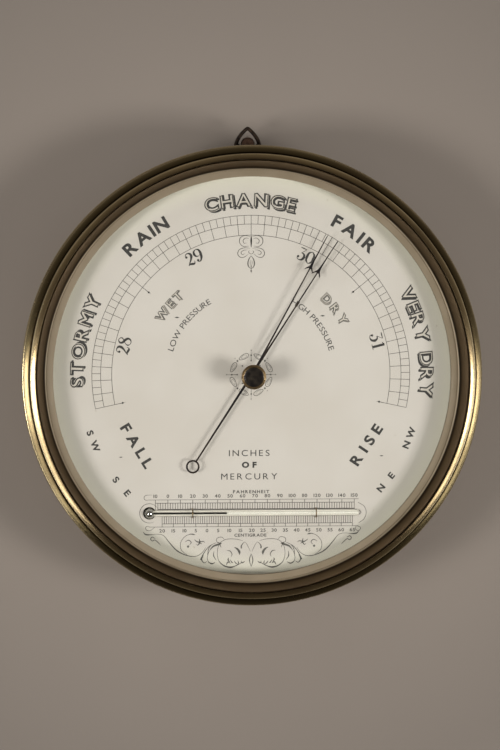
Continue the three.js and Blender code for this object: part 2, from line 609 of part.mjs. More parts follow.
// Mainspring, its bridge and the main lever
function addSpring() {
  const { thickness, bendRadius, pastPost, lowerLength, width } = mainspring;
  const outer = bendRadius + thickness;
  const tipX = capsule.centreX - pastPost;
  const lowerX = springX - lowerLength;
  const profile = [
    [tipX, springFront], [springX, springFront], ...arc(springX, springMiddle, outer, outer, 75, -75, 10),
    [springX, springLowerBack], [lowerX, springLowerBack], [lowerX, springLowerBack + thickness],
    [springX, springLowerBack + thickness],
    ...arc(springX, springMiddle, bendRadius, bendRadius, -75, 75, 10),
    [springX, springFront - thickness], [tipX, springFront - thickness],
  ];
  const holes = [rodAlong('y', post.radius + fit, -leverBack - overrun, -springMiddle, sides.post)
    .translate(capsule.centreX, 0, capsule.centreZ)];
  for (const offset of leverScrew.fromPost) {
    holes.push(rodAlong('y', leverScrew.radius + fit, -leverBack - overrun, -springMiddle, sides.post)
      .translate(capsule.centreX + offset, 0, capsule.centreZ));
  }
  const leaf = sidePlate(profile, capsule.centreZ, width);
  addPiece('mainspring', cut(leaf, holes), 'steel');

  const half = bridge.width / 2;
  const arch = bridge.archWidth / 2;
  const foot = (z) => capsule.centreZ + z;
  const archway = arc(capsule.centreZ, capsuleBack, arch, bridge.archHeight, 180, 0, 8);
  const block = endPlate([
    [foot(-half), capsuleBack], ...archway, [foot(half), capsuleBack],
    [foot(half), capsuleBack + bridge.height], [foot(-half), capsuleBack + bridge.height],
  ], bridgeX, bridge.length);
  addPiece('spring_bridge', block, 'darkBrass');

  const rootX = springX - lever.rootInset;
  const windowRadius = pin.length / 2 + lever.windowRoom;
  const rootHalf = windowRadius + lever.sideWidth;
  const bar = facePlate(shapeOf([
    [leverTipX, -lever.tipHalfWidth], [rootX - rootHalf, -rootHalf], [rootX, -rootHalf],
    [rootX, rootHalf], [rootX - rootHalf, rootHalf], [leverTipX, lever.tipHalfWidth],
  ], [
    circle(capsule.centreX, 0, windowRadius, sides.post),
    ...leverScrew.fromPost.map((offset) =>
      circle(capsule.centreX + offset, 0, leverScrew.radius + fit, sides.post)),
    circle(linkX, 0, link.radius + fit, sides.wire),
  ]), leverBack, lever.thickness);
  addPiece('main_lever', bar, 'brass').position.z = capsule.centreZ;
  const headBack = leverFront + seat;
  leverScrew.fromPost.forEach((offset, i) => {
    const body = turned([
      [0, springFront - thickness], [leverScrew.radius, springFront - thickness],
      [leverScrew.radius, headBack], [leverScrew.headRadius, headBack],
      [leverScrew.headRadius, headBack + leverScrew.headThickness],
      [0, headBack + leverScrew.headThickness],
    ], sides.post);
    addPiece(`lever_screw_${i + 1}`, body, 'steel')
      .position.set(capsule.centreX + offset, 0, capsule.centreZ);
  });
  const linkFront = rockerAxis - rocker.shortArmThickness / 2 - link.gapToArm;
  addPiece('link_rod', turned(rod(link.radius, leverBack, linkFront), sides.wire), 'steel')
    .position.set(linkX, 0, capsule.centreZ);
}

// Rocking shaft with its long arm for the chain and its short arm over the link, and its posts
function addRocker() {
  const r = rocker;
  const middleZ = r.offsetZ;
  const armZ = chainZ - chain.thickness / 2 - fit - r.armThickness / 2;
  const pinFront = chainZ + chain.thickness / 2 + seat;
  const pieces = [
    rodAlong('z', r.radius, middleZ - r.halfLength, middleZ + r.halfLength, sides.post),
    rodAlong('z', r.pivotRadius, middleZ - r.halfLength - r.pivotLength,
      middleZ + r.halfLength + r.pivotLength, sides.wire),
    new THREE.BoxGeometry(r.armWidth, r.armLength + r.armWidth / 2, r.armThickness)
      .translate(0, -(r.armLength + r.armWidth / 2) / 2, armZ),
    new THREE.BoxGeometry(r.shortArmLength, r.shortArmThickness, r.armWidth)
      .translate(-r.shortArmLength / 2, 0, capsule.centreZ),
    rodAlong('z', r.pinRadius, armZ, pinFront, sides.wire).translate(0, -r.armLength, 0),
  ];
  addPiece('rocking_shaft', join(pieces), 'steel').position.set(rockerX, -rockerAxis, 0);
  const postFront = rockerAxis + rockerPost.aboveAxis;
  const postOffset = r.halfLength + fit + rockerPost.radius;
  for (const [side, sign] of [['upper', 1], ['lower', -1]]) {
    const column = turned(rod(rockerPost.radius, basePlateFront + seat, postFront), sides.post);
    const room = rodAlong('z', r.pivotRadius + fit, -rockerPost.radius - overrun,
      rockerPost.radius + overrun, sides.wire).translate(0, -rockerAxis, 0);
    addPiece(`rocking_shaft_post_${side}`, cut(column, [room]), 'brass')
      .position.set(rockerX, 0, middleZ + sign * postOffset);
  }
}

// Chain from the rocking arm's eye to the drum on the arbor, in one flat run of links
function addChain() {
  const c = chain;
  const pitch = (-rockerX - c.eyeHalfWidth + c.waistHalfHeight) / c.links;
  const linkPoints = [];
  for (let i = 0; i < c.links; i += 1) {
    const start = rockerX + c.eyeHalfWidth - c.waistHalfHeight + i * pitch;
    linkPoints.push([start, c.waistHalfHeight], [start + pitch / 4, c.halfHeight],
      [start + (3 * pitch) / 4, c.halfHeight]);
  }
  linkPoints.push([0, c.waistHalfHeight]);
  const mirrored = linkPoints.map(([x, y]) => [x, -y]).reverse();
  const run = new THREE.ExtrudeGeometry(shapeOf([...linkPoints, ...mirrored]),
    { depth: c.thickness, bevelEnabled: false });
  const eye = new THREE.ExtrudeGeometry(
    shapeOf(arc(rockerX, 0, c.eyeHalfWidth, c.eyeHalfHeight, 0, 360, sides.post).slice(1),
      [arc(rockerX, 0, c.slotHalfWidth, c.slotHalfHeight, 0, 360, sides.post).slice(1)]),
    { depth: c.thickness, bevelEnabled: false });
  addPiece('chain', join([run, eye]).translate(0, -drumMiddle, chainZ - c.thickness / 2), 'steel');
}

// Arbor with its plates, pillars, cock and hairspring
function addArbor() {
  const a = arbor;
  const half = a.drumWidth / 2;
  const hubFront = drumMiddle + half + a.flangeThickness + a.hubLength;
  addPiece('pressure_arbor', turned([
    [0, lowerPlateBack], [a.pivotRadius, lowerPlateBack], [a.pivotRadius, lowerPlateFront + seat],
    [a.flangeRadius, lowerPlateFront + seat], [a.flangeRadius, drumMiddle - half],
    [a.drumRadius, drumMiddle - half], [a.drumRadius, drumMiddle + half],
    [a.flangeRadius, drumMiddle + half], [a.flangeRadius, drumMiddle + half + a.flangeThickness],
    [a.hubRadius, drumMiddle + half + a.flangeThickness], [a.hubRadius, hubFront],
    [a.radius, hubFront], [a.radius, pressureHandFront], [0, pressureHandFront],
  ], sides.post), 'steel');

  const { width, thickness } = lowerPlate;
  const halfLength = pillarZ + pillar.radius + lowerPlate.pastPillar;
  const plateShape = shapeOf([
    [-width / 2, -halfLength], [width / 2, -halfLength], [width / 2, halfLength], [-width / 2, halfLength],
  ], [circle(0, 0, a.pivotRadius + fit, sides.wire)]);
  addPiece('arbor_lower_plate', facePlate(plateShape, lowerPlateBack, thickness), 'brass');
  for (const [side, sign] of [['upper', 1], ['lower', -1]]) {
    addPiece(`arbor_pillar_${side}`,
      turned(rod(pillar.radius, basePlateFront + seat, lowerPlateBack - seat), sides.post), 'brass')
      .position.z = sign * pillarZ;
  }

  const legBack = lowerPlateFront + seat;
  const span = cock.halfLength;
  const inside = span - cock.legLength;
  const cockBridge = endPlate([
    [-span, legBack], [-inside, legBack], [-inside, cockBack], [inside, cockBack], [inside, legBack],
    [span, legBack], [span, cockFront], [-span, cockFront],
  ], 0, cock.width);
  const hole = rodAlong('y', a.radius + fit, -cockFront - overrun, -cockBack + overrun, sides.post);
  addPiece('arbor_cock', cut(cockBridge, [hole]), 'brass');

  addPiece('hairspring', hairspringRibbon(hubFront - a.hubLength / 2), 'steel');
  addPiece('hairspring_stud', turned(rod(stud.radius, cockBack - seat - stud.length, cockBack - seat),
    sides.wire), 'brass').position.z = hairspring.outerRadius + hairspring.ribbon / 2 + fit + stud.radius;
}

// The hairspring: one flat ribbon wound in a spiral from the hub to the stud
function hairspringRibbon(distance) {
  const { innerRadius, outerRadius, turns, ribbon, height, stepsPerTurn } = hairspring;
  const steps = turns * stepsPerTurn;
  const side = (offset) => Array.from({ length: steps + 1 }, (_, i) => {
    const angle = Math.PI / 2 + (Math.PI * 2 * i) / stepsPerTurn;
    const radius = innerRadius + ((outerRadius - innerRadius) * i) / steps + offset;
    return [radius * Math.cos(angle), radius * Math.sin(angle)];
  });
  const outline = [...side(ribbon / 2), ...side(-ribbon / 2).reverse()];
  const leastGap = (outerRadius - innerRadius) / turns - ribbon;
  console.log(`hairspring: least gap between turns ${leastGap.toFixed(2)} mm`);
  return facePlate(shapeOf(outline), distance - height / 2, height);
}

// Pendant stud, bow and the pin between them
function addBow() {
  const p = pendant;
  const dome = arc(0, p.height - p.stemRadius, p.stemRadius, p.stemRadius, 0, 90, 5);
  const stem = lathe([
    [0, -p.shankLength], [p.shankRadius, -p.shankLength], [p.shankRadius, 0], [p.flangeRadius, 0],
    [p.flangeRadius, p.flangeHeight / 2], [p.stemRadius, p.flangeHeight], ...dome.slice(0, -1),
    [0, p.height],
  ], sides.post).rotateX(Math.PI / 2);
  const pinRoom = rodAlong('x', bow.pinRadius + fit, -p.flangeRadius, p.flangeRadius, sides.post)
    .translate(0, 0, p.pinHeight);
  addPiece('pendant_stud', cut(stem, [pinRoom]), 'darkBrass').position.set(0, -p.fromWall, pendantFoot);

  const reach = bow.legSpread + bow.wireRadius + bow.pinOverhang;
  addPiece('bow_pin', rodAlong('x', bow.pinRadius, -reach, reach, sides.post), 'darkBrass')
    .position.set(0, -p.fromWall, bowPinZ);

  const points = [
    [-bow.legSpread, 0], [-bow.legSpread - bow.bulge, bow.shoulderHeight / 2],
    [-bow.legSpread + bow.bulge / 2, bow.shoulderHeight], [-bow.tipRound, bow.height - bow.tipRound / 2],
  ];
  const mirrored = points.map(([x, z]) => [-x, z]).reverse();
  const route = [...points, [0, bow.height], ...mirrored].map(([x, z]) => new THREE.Vector3(x, 0, z));
  const curve = new THREE.CatmullRomCurve3(route, false, 'centripetal');
  const wire = new THREE.ExtrudeGeometry(shapeOf(circle(0, 0, bow.wireRadius, sides.wire)),
    { steps: bow.steps, extrudePath: curve, bevelEnabled: false });
  const eyes = [-1, 1].map((sign) => rodAlong('x', bow.eyeRadius,
    sign * bow.legSpread - bow.wireRadius, sign * bow.legSpread + bow.wireRadius, sides.post));
  const eyeRoom = rodAlong('x', bow.pinRadius + fit, -reach - overrun, reach + overrun, sides.post);
  addPiece('hanging_bow', cut(join([wire, ...eyes]), [eyeRoom]), 'blackened')
    .position.set(0, -p.fromWall, bowPinZ);
}

addCase();
addFront();
addHands();
addThermometer();
addBase();
addCapsule();
addSpring();
addRocker();
addChain();
addArbor();
addBow();

console.log(`ratios to the pressure hand: rocking shaft ${rockerRatio.toFixed(6)},`,
  `lever ${leverRatio.toFixed(7)}, post ${(postRatio / 1000).toFixed(8)} m/rad,`,
  `chain ${(-chainRadius / 1000).toFixed(6)} m/rad`);
console.log(`pivots: rocking shaft x ${rockerX} y ${-rockerAxis}, lever x ${springX} y ${-springMiddle},`,
  `bow y ${-pendant.fromWall} z ${bowPinZ}`);

export default barometer;
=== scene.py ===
import math

import bmesh
import bpy
from mathutils import Matrix, Vector


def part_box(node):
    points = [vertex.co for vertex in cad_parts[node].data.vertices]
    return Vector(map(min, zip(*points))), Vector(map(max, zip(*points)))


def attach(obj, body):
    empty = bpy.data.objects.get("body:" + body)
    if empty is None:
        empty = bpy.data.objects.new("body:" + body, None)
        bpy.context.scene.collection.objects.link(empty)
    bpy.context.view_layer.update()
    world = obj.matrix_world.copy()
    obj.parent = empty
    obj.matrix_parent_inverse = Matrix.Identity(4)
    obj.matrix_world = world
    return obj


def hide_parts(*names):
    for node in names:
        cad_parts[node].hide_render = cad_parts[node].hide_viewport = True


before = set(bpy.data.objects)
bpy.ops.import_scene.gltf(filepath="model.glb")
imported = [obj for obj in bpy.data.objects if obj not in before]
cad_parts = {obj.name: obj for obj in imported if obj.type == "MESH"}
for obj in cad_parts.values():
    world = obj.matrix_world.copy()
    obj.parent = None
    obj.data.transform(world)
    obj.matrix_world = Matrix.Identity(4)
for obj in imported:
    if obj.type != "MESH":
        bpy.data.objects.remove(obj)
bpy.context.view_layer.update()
print("frame loaded,", len(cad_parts), "nodes")

mm = 0.001
dialFace = 47.8
glassFace = 60.4
roundSteps = 240  # sides of the large round pieces; holes and screws have fewer
holeSteps = 48
screwSteps = 40


# Node helpers

def feed(tree, node, given):  # puts a link or a value into each named or numbered socket of a node
    for key, source in given.items():
        if isinstance(source, bpy.types.NodeSocket):
            tree.links.new(source, node.inputs[key])
        else:
            node.inputs[key].default_value = source
    return node


def addNode(tree, kind, given=None, **settings):
    node = tree.nodes.new(kind)
    for key, value in settings.items():
        setattr(node, key, value)
    return feed(tree, node, given or {})


def newMaterial(name, roughness, metallic=0.0):
    material = bpy.data.materials.new(name)
    material.use_nodes = True
    tree = material.node_tree
    return material, tree, feed(tree, tree.nodes["Principled BSDF"], {"Roughness": roughness, "Metallic": metallic})


def placeOf(tree):
    return addNode(tree, "ShaderNodeTexCoord").outputs["Object"]


def noiseOf(tree, scale, detail, place=None):
    given = {"Vector": place or placeOf(tree), "Scale": scale, "Detail": detail}
    return addNode(tree, "ShaderNodeTexNoise", given).outputs[0]


def radiusOf(tree):  # distance from the line through the dial's centre
    flat = addNode(tree, "ShaderNodeVectorMath", {0: placeOf(tree), 1: (1, 0, 1)}, operation="MULTIPLY")
    return addNode(tree, "ShaderNodeVectorMath", {0: flat.outputs[0]}, operation="LENGTH").outputs["Value"]


def rangeOf(tree, value, low, high, toLow=0.0, toHigh=1.0):
    return addNode(tree, "ShaderNodeMapRange", dict(enumerate((value, low, high, toLow, toHigh)))).outputs[0]


def rampOf(tree, value, stops):
    node = addNode(tree, "ShaderNodeValToRGB", {0: value})
    elements = node.color_ramp.elements
    while len(elements) < len(stops):
        elements.new(0.5)
    for element, (position, colour) in zip(elements, stops):
        element.position = position
        element.color = (*colour, 1)
    return node.outputs[0]


def mixOf(tree, factor, first, second):
    return addNode(tree, "ShaderNodeMix", {0: factor, 6: first, 7: second}, data_type="RGBA").outputs[2]


def mathOf(tree, operation, first, second):
    return addNode(tree, "ShaderNodeMath", {0: first, 1: second}, operation=operation).outputs[0]


def bumpOf(tree, height, strength, depth):
    given = {"Height": height, "Strength": strength, "Distance": depth}
    return addNode(tree, "ShaderNodeBump", given).outputs["Normal"]


def mixShaders(tree, share, first, second):
    return addNode(tree, "ShaderNodeMixShader", {0: share, 1: first, 2: second}).outputs[0]


def turningMarks(tree, fineness):  # fine rings that the lathe tool leaves
    across = mathOf(tree, "MULTIPLY", radiusOf(tree), fineness)
    return noiseOf(tree, 1, 3, addNode(tree, "ShaderNodeCombineXYZ", {0: across}).outputs[0])


# Finishes: a range such as (0.3, 0.7) is the part of a noise over which a finish changes

metalLook = {"grain": 2500, "worn": 0.32, "clean": 0.62, "dull": (0.3, 0.7), "grainDulls": 0.05,
             "bump": 0.25, "bumpDepth": 0.00004}
paintLook = {"grain": 2000, "aged": 0.35, "clean": 0.65, "dull": (0.3, 0.7), "spread": (-0.05, 0.08), "bump": 0.15,
             "bumpDepth": 0.00003}


def metalFinish(name, clean, worn, roughness, patchSize, turned=0.0, roughSpread=0.12):
    look = metalLook
    material, tree, shader = newMaterial(name, roughness, 1.0)
    patches = noiseOf(tree, 1 / (patchSize * mm), 5)
    grain = noiseOf(tree, look["grain"], 2)
    feed(tree, shader, {
        "Base Color": rampOf(tree, patches, [(look["worn"], worn), (look["clean"], clean)]),
        "Roughness": mathOf(tree, "ADD", rangeOf(tree, patches, *look["dull"], roughness + roughSpread, roughness),
                            rangeOf(tree, grain, *look["dull"], 0.0, look["grainDulls"])),
        "Normal": bumpOf(tree, turningMarks(tree, turned) if turned else grain, look["bump"], look["bumpDepth"]),
    })
    return material


def paintFinish(name, base, aged, roughness, patchSize):
    look = paintLook
    material, tree, shader = newMaterial(name, roughness)
    grain = noiseOf(tree, look["grain"], 2)
    patches = noiseOf(tree, 1 / (patchSize * mm), 5)
    feed(tree, shader, {
        "Base Color": rampOf(tree, patches, [(look["aged"], aged), (look["clean"], base)]),
        "Roughness": rangeOf(tree, grain, *look["dull"], *(roughness + extra for extra in look["spread"])),
        "Normal": bumpOf(tree, grain, look["bump"], look["bumpDepth"]),
    })
    return material


bezelFinish = {
    # distance from the middle, the colour of the brass there and its roughness; these colours also hold painted light
    # painted highlights: the light rings at the opening's lip, at the bead's outer edge and at the outer roll
    # painted shade: the dark ring just outside the opening; the brightness rising outwards across the band is painted
    # sheen
    # the grooves are darker
    "tonesAndPaintedLight": [
        (105.8, (0.62, 0.55, 0.43), 0.55), (106.15, (0.55, 0.48, 0.37), 0.55), (106.45, (0.03, 0.022, 0.014), 0.5),
        (107.0, (0.03, 0.022, 0.014), 0.5), (107.8, (0.12, 0.085, 0.05), 0.38), (109.9, (0.175, 0.125, 0.074), 0.34),
        (110.5, (0.125, 0.089, 0.052), 0.3), (111.0, (0.05, 0.037, 0.02), 0.4), (111.6, (0.20, 0.15, 0.08), 0.2),
        (113.2, (0.38, 0.30, 0.17), 0.18), (113.75, (0.75, 0.63, 0.40), 0.22), (114.1, (0.03, 0.022, 0.013), 0.5),
        (114.7, (0.06, 0.045, 0.022), 0.22), (116.6, (0.15, 0.12, 0.062), 0.2), (117.3, (0.30, 0.245, 0.14), 0.2),
        (117.8, (0.50, 0.42, 0.26), 0.22), (118.2, (0.55, 0.47, 0.30), 0.22)],
    "tarnish": (0.09, 0.062, 0.035), "tarnishShare": 0.35, "tarnishRange": (0.42, 0.7), "patchSize": 24,
    "patchRange": (0.4, 0.75), "patchDulls": 0.06, "specks": 900, "speckRange": (0.5, 0.8), "speckDulls": 0.05,
    "marks": 9000, "bump": 0.12, "bumpDepth": 0.00002,
    # how much sharper the gloss is along the ring than across it, from the slope outwards
    "slopeBrushed": 0.1, "brushed": 0.85, "brushedFrom": (110.4, 111.2), "quarterTurn": 0.25,
}


def bezelBrass():
    f = bezelFinish
    material, tree, shader = newMaterial("bezelBrass", 0.25, 1.0)
    first, last = f["tonesAndPaintedLight"][0][0], f["tonesAndPaintedLight"][-1][0]
    across = rangeOf(tree, radiusOf(tree), first * mm, last * mm)
    places = [(tone[0] - first) / (last - first) for tone in f["tonesAndPaintedLight"]]
    # this ramp paints the highlights, shade and sheen listed above
    bands = rampOf(tree, across, [(place, tone[1]) for place, tone in zip(places, f["tonesAndPaintedLight"])])
    gloss = rampOf(tree, across, [(place, (tone[2],) * 3) for place, tone in zip(places, f["tonesAndPaintedLight"])])
    patches = noiseOf(tree, 1 / (f["patchSize"] * mm), 6)
    amount = rangeOf(tree, patches, *f["tarnishRange"], 0.0, f["tarnishShare"])
    wear = mathOf(tree, "ADD", rangeOf(tree, patches, *f["patchRange"], 0.0, f["patchDulls"]),
                  rangeOf(tree, noiseOf(tree, f["specks"], 3), *f["speckRange"], 0.0, f["speckDulls"]))
    start, end = (radius * mm for radius in f["brushedFrom"])
    feed(tree, shader, {
        "Base Color": mixOf(tree, amount, bands, (*f["tarnish"], 1)),
        "Roughness": mathOf(tree, "ADD", gloss, wear),
        "Anisotropic": rangeOf(tree, radiusOf(tree), start, end, f["slopeBrushed"], f["brushed"]),
        "Anisotropic Rotation": f["quarterTurn"],
        "Tangent": addNode(tree, "ShaderNodeTangent", direction_type="RADIAL", axis="Y").outputs[0],
        "Normal": bumpOf(tree, turningMarks(tree, f["marks"]), f["bump"], f["bumpDepth"]),
    })
    return material


dialFinish = {
    "paint": (0.57, 0.535, 0.495), "aged": (0.54, 0.502, 0.457), "clouds": 28, "cloudRange": (0.35, 0.6),
    # painted light: the dial's outer ring is painted lighter and greener, to lift the shade the bezel casts there
    "rim": (0.69, 0.67, 0.56), "rimPaintedLightShare": 0.8, "rimPaintedLightStarts": 92, "rimPaintedLightEnds": 101.5,
    "speck": (0.30, 0.24, 0.16), "specks": 420, "speckRange": (0.73, 0.8), "speckShare": 0.5,
    "roughness": 0.5, "spread": (-0.06, 0.08), "grain": 1800, "grainRange": (0.3, 0.7),
    "bump": 0.12, "bumpDepth": 0.00003,
}


def dialPaint():
    f = dialFinish
    material, tree, shader = newMaterial("dialPaint", f["roughness"])
    base = rampOf(tree, noiseOf(tree, f["clouds"], 5), list(zip(f["cloudRange"], (f["aged"], f["paint"]))))
    # painted light on the outer ring, lifting the bezel's shade
    rim = rangeOf(tree, radiusOf(tree), f["rimPaintedLightStarts"] * mm, f["rimPaintedLightEnds"] * mm, 0.0, f["rimPaintedLightShare"])
    specks = rangeOf(tree, noiseOf(tree, f["specks"], 2), *f["speckRange"], 0.0, f["speckShare"])
    grain = noiseOf(tree, f["grain"], 3)
    feed(tree, shader, {
        "Base Color": mixOf(tree, specks, mixOf(tree, rim, base, (*f["rim"], 1)), (*f["speck"], 1)),
        "Roughness": rangeOf(tree, grain, *f["grainRange"], *(f["roughness"] + extra for extra in f["spread"])),
        "Normal": bumpOf(tree, grain, f["bump"], f["bumpDepth"]),
    })
    return material


glassFinish = {
    "tint": (0.985, 0.99, 0.985), "slantPower": 5, "leastGloss": 0.006, "mostGloss": 0.7, "tubeGloss": 0.3,
    "smears": 60, "smearRange": (0.4, 0.8), "roughness": (0.02, 0.07),
    # the bevel's beige coat is painted: it stands in for what the bevelled glass bends and reflects
    "bevelPaintedView": (0.245, 0.203, 0.146), "bevelPaintedViewDarker": (0.222, 0.183, 0.128), "bevelStarts": 102.0,
    "bevelEdge": 0.25, "bevelShare": 0.95,
    "milk": (0.88, 0.85, 0.79), "milkDimTo": 0.94, "milkStarts": 49.5, "milkEdge": 0.1, "milkShare": 0.92,
}


def glassFinishOf(name, mostGloss):  # lamps and sight pass straight through, with gloss at a slant
    f = glassFinish
    material = bpy.data.materials.new(name)
    material.use_nodes = True
    tree = material.node_tree
    tree.nodes.clear()
    through = addNode(tree, "ShaderNodeBsdfTransparent", {"Color": (*f["tint"], 1)})
    smears = rangeOf(tree, noiseOf(tree, f["smears"], 3), *f["smearRange"], *f["roughness"])
    gloss = addNode(tree, "ShaderNodeBsdfGlossy", {"Roughness": smears})
    slant = addNode(tree, "ShaderNodeLayerWeight", {"Blend": 0.5}).outputs["Facing"]
    share = rangeOf(tree, mathOf(tree, "POWER", slant, f["slantPower"]), 0, 1, f["leastGloss"], mostGloss)
    return material, tree, mixShaders(tree, share, through.outputs[0], gloss.outputs[0])


def coverGlass(tree, clear, share, colour):  # lays an opaque coat where share says
    coat = addNode(tree, "ShaderNodeBsdfDiffuse", {"Color": colour})
    both = mixShaders(tree, share, clear, coat.outputs[0])
    addNode(tree, "ShaderNodeOutputMaterial", {"Surface": both})


def windowGlass():  # its bevelled edge gets an opaque beige coat, a painted view that stands in for what the bevel bends and reflects
    f = glassFinish
    material, tree, clear = glassFinishOf("windowGlass", f["mostGloss"])
    start = f["bevelStarts"]
    share = rangeOf(tree, radiusOf(tree), start * mm, (start + f["bevelEdge"]) * mm, 0.0, f["bevelShare"])
    colour = rampOf(tree, noiseOf(tree, 70, 4), [(0.35, f["bevelPaintedViewDarker"]), (0.6, f["bevelPaintedView"])])
    coverGlass(tree, clear, share, colour)
    return material


def tubeGlass():  # clear in front and backed with milk glass
    f = glassFinish
    material, tree, clear = glassFinishOf("tubeGlass", f["tubeGloss"])
    parts = addNode(tree, "ShaderNodeSeparateXYZ", {0: placeOf(tree)}).outputs
    edge = -f["milkStarts"] * mm
    share = rangeOf(tree, parts[1], edge, edge + f["milkEdge"] * mm, 0.0, f["milkShare"])
    dim = tuple(f["milkDimTo"] * c for c in f["milk"])
    colour = rampOf(tree, noiseOf(tree, 300, 3), [(0.3, dim), (0.7, f["milk"])])
    coverGlass(tree, clear, share, colour)
    return material


finishes = {
    "bezel": bezelBrass(),
    "dial": dialPaint(),
    "case": metalFinish("caseBrass", (0.26, 0.19, 0.10), (0.16, 0.11, 0.06), 0.36, 18, 6000),
    "knob": metalFinish("knobBrass", (0.30, 0.225, 0.125), (0.16, 0.11, 0.06), 0.24, 4, 9000, 0.08),
    "brightBrass": metalFinish("movementBrass", (0.62, 0.47, 0.22), (0.45, 0.32, 0.14), 0.28, 12),
    "blackened": metalFinish("blackenedSteel", (0.030, 0.028, 0.032), (0.055, 0.042, 0.034), 0.32, 6),
    "bow": metalFinish("bowBronze", (0.035, 0.028, 0.025), (0.09, 0.062, 0.045), 0.36, 3),
    "stud": metalFinish("studBronze", (0.20, 0.13, 0.10), (0.11, 0.07, 0.055), 0.2, 3),
    "steel": metalFinish("blueGreySteel", (0.42, 0.43, 0.45), (0.30, 0.30, 0.31), 0.3, 9),
    "nickel": metalFinish("nickelSilver", (0.60, 0.58, 0.54), (0.44, 0.42, 0.38), 0.24, 10),
    "mercury": metalFinish("mercury", (0.62, 0.62, 0.63), (0.52, 0.52, 0.53), 0.07, 4, 0.0, 0.02),
    # painted reflection: the mercury thread is painted near black, for the dark surroundings it mirrors
    "thread": metalFinish("mercuryThreadPaintedDark", (0.035, 0.032, 0.03), (0.055, 0.05, 0.045), 0.34, 4),
    "ringPaint": paintFinish("ringPaint", (0.33, 0.29, 0.22), (0.24, 0.20, 0.15), 0.5, 9),
    "ink": paintFinish("printingInk", (0.015, 0.014, 0.013), (0.04, 0.037, 0.034), 0.6, 1.2),
    "faintInk": paintFinish("faintInk", (0.06, 0.056, 0.05), (0.12, 0.112, 0.1), 0.6, 1.2),
    "glass": windowGlass(),
    "tubeGlass": tubeGlass(),
    # painted reflection: the knob's dish is painted near black, for the dark room its hollow mirrors
    "dish": metalFinish("knobDishPaintedDark", (0.060, 0.056, 0.058), (0.13, 0.115, 0.095), 0.16, 3, 9000, 0.06),
    "letterFace": paintFinish("letterFace", (0.55, 0.51, 0.455), (0.51, 0.47, 0.41), 0.5, 3),
    "shadeInk": paintFinish("shadeInk", (0.20, 0.185, 0.165), (0.26, 0.24, 0.21), 0.6, 1.2),
}
print("finishes made:", len(finishes))


# Shape helpers

def linked(name, data):
    thing = bpy.data.objects.new(name, data)
    bpy.context.scene.collection.objects.link(thing)
    return thing


flatSharp = 15  # the angle in degrees that keeps an edge of a flat piece sharp


def addPiece(name, mesh, finish, body, slot, *nodes, sharp=32, second=None):
    mesh.name = name
    mesh.materials.clear()
    for key in (finish, second[0]) if second else (finish,):
        mesh.materials.append(finishes[key])
    if sharp:
        mesh.shade_smooth()
        mesh.set_sharp_from_angle(angle=math.radians(sharp))
    else:
        mesh.shade_flat()
    if second:  # a second finish, and the test that says which faces have it
        for face in mesh.polygons:
            face.material_index = int(second[1](face.center))
    piece = linked(name, mesh)
    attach(piece, body)
    if nodes:
        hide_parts(*nodes)


def addPrint(name, mesh, finish):
    addPiece(name, mesh, finish, "root", "dial_paint", sharp=0)


def cleaned(build):  # merges doubles, turns the faces outwards and gives the mesh
    bmesh.ops.remove_doubles(build, verts=build.verts, dist=1e-7)
    bmesh.ops.recalc_face_normals(build, faces=build.faces)
    mesh = bpy.data.meshes.new("shape")
    build.to_mesh(mesh)
    build.free()
    return mesh


def meshOf(thing):  # the evaluated shape of an object, which is then removed
    bpy.context.view_layer.update()
    mesh = bpy.data.meshes.new_from_object(thing.evaluated_get(bpy.context.evaluated_depsgraph_get()))
    bpy.data.objects.remove(thing)
    return mesh


def polar(degrees, radius):  # a place on the dial, by its angle from the top and its distance from the middle
    return radius * math.sin(math.radians(degrees)), radius * math.cos(math.radians(degrees))


def arcPoints(centreX, centreY, radiusX, radiusY, start, end, steps):
    angles = [math.radians(start + (end - start) * i / steps) for i in range(steps + 1)]
    return [(centreX + radiusX * math.cos(a), centreY + radiusY * math.sin(a)) for a in angles]


def ringPoints(x, z, radius, steps):
    return arcPoints(x, z, radius, radius, 0, 360, steps)[:-1]


def roundedOutline(outline, radius, steps=3):  # softens the corners of a closed outline
    result = []
    for i, corner in enumerate(outline):
        here = Vector(corner)
        before = Vector(outline[i - 1]) - here
        after = Vector(outline[(i + 1) % len(outline)]) - here
        turn = math.pi - before.angle(after, 0)
        if turn < math.radians(18) or corner[0] == 0:
            result.append(tuple(corner))
            continue
        reach = min(radius * math.tan(turn / 2), before.length * 0.4, after.length * 0.4)
        start = here + before.normalized() * reach
        end = here + after.normalized() * reach
        for s in range(steps + 1):
            t = s / steps
            result.append(tuple(start * (1 - t) ** 2 + here * (2 * t * (1 - t)) + end * t ** 2))
    return result


def turnedMesh(outline, steps, place=None):  # a lathe shape about the line through the dial's centre
    build = bmesh.new()
    angles = [2 * math.pi * i / steps for i in range(steps)]
    rings = []
    for radius, distance in outline:
        if radius < 1e-6:
            rings.append([build.verts.new((0, -distance * mm, 0))] * steps)
        else:
            rings.append([build.verts.new((radius * mm * math.sin(a), -distance * mm, radius * mm * math.cos(a)))
                          for a in angles])
    for near, far in zip(rings, rings[1:] + rings[:1]):
        for i in range(steps):
            j = (i + 1) % steps
            corners = []
            for vert in (near[i], near[j], far[j], far[i]):
                if vert not in corners:
                    corners.append(vert)
            if len(corners) > 2:
                build.faces.new(corners)
    if place is not None:
        build.transform(place)
    return cleaned(build)


def polyCurve(dimensions, loops, closed):
    curve = bpy.data.curves.new("lines", "CURVE")
    curve.dimensions = dimensions
    for loop in loops:
        spline = curve.splines.new("POLY")
        spline.points.add(len(loop) - 1)
        for point, place in zip(spline.points, loop):
            point.co = (*place, 1)
        spline.use_cyclic_u = closed
    return curve


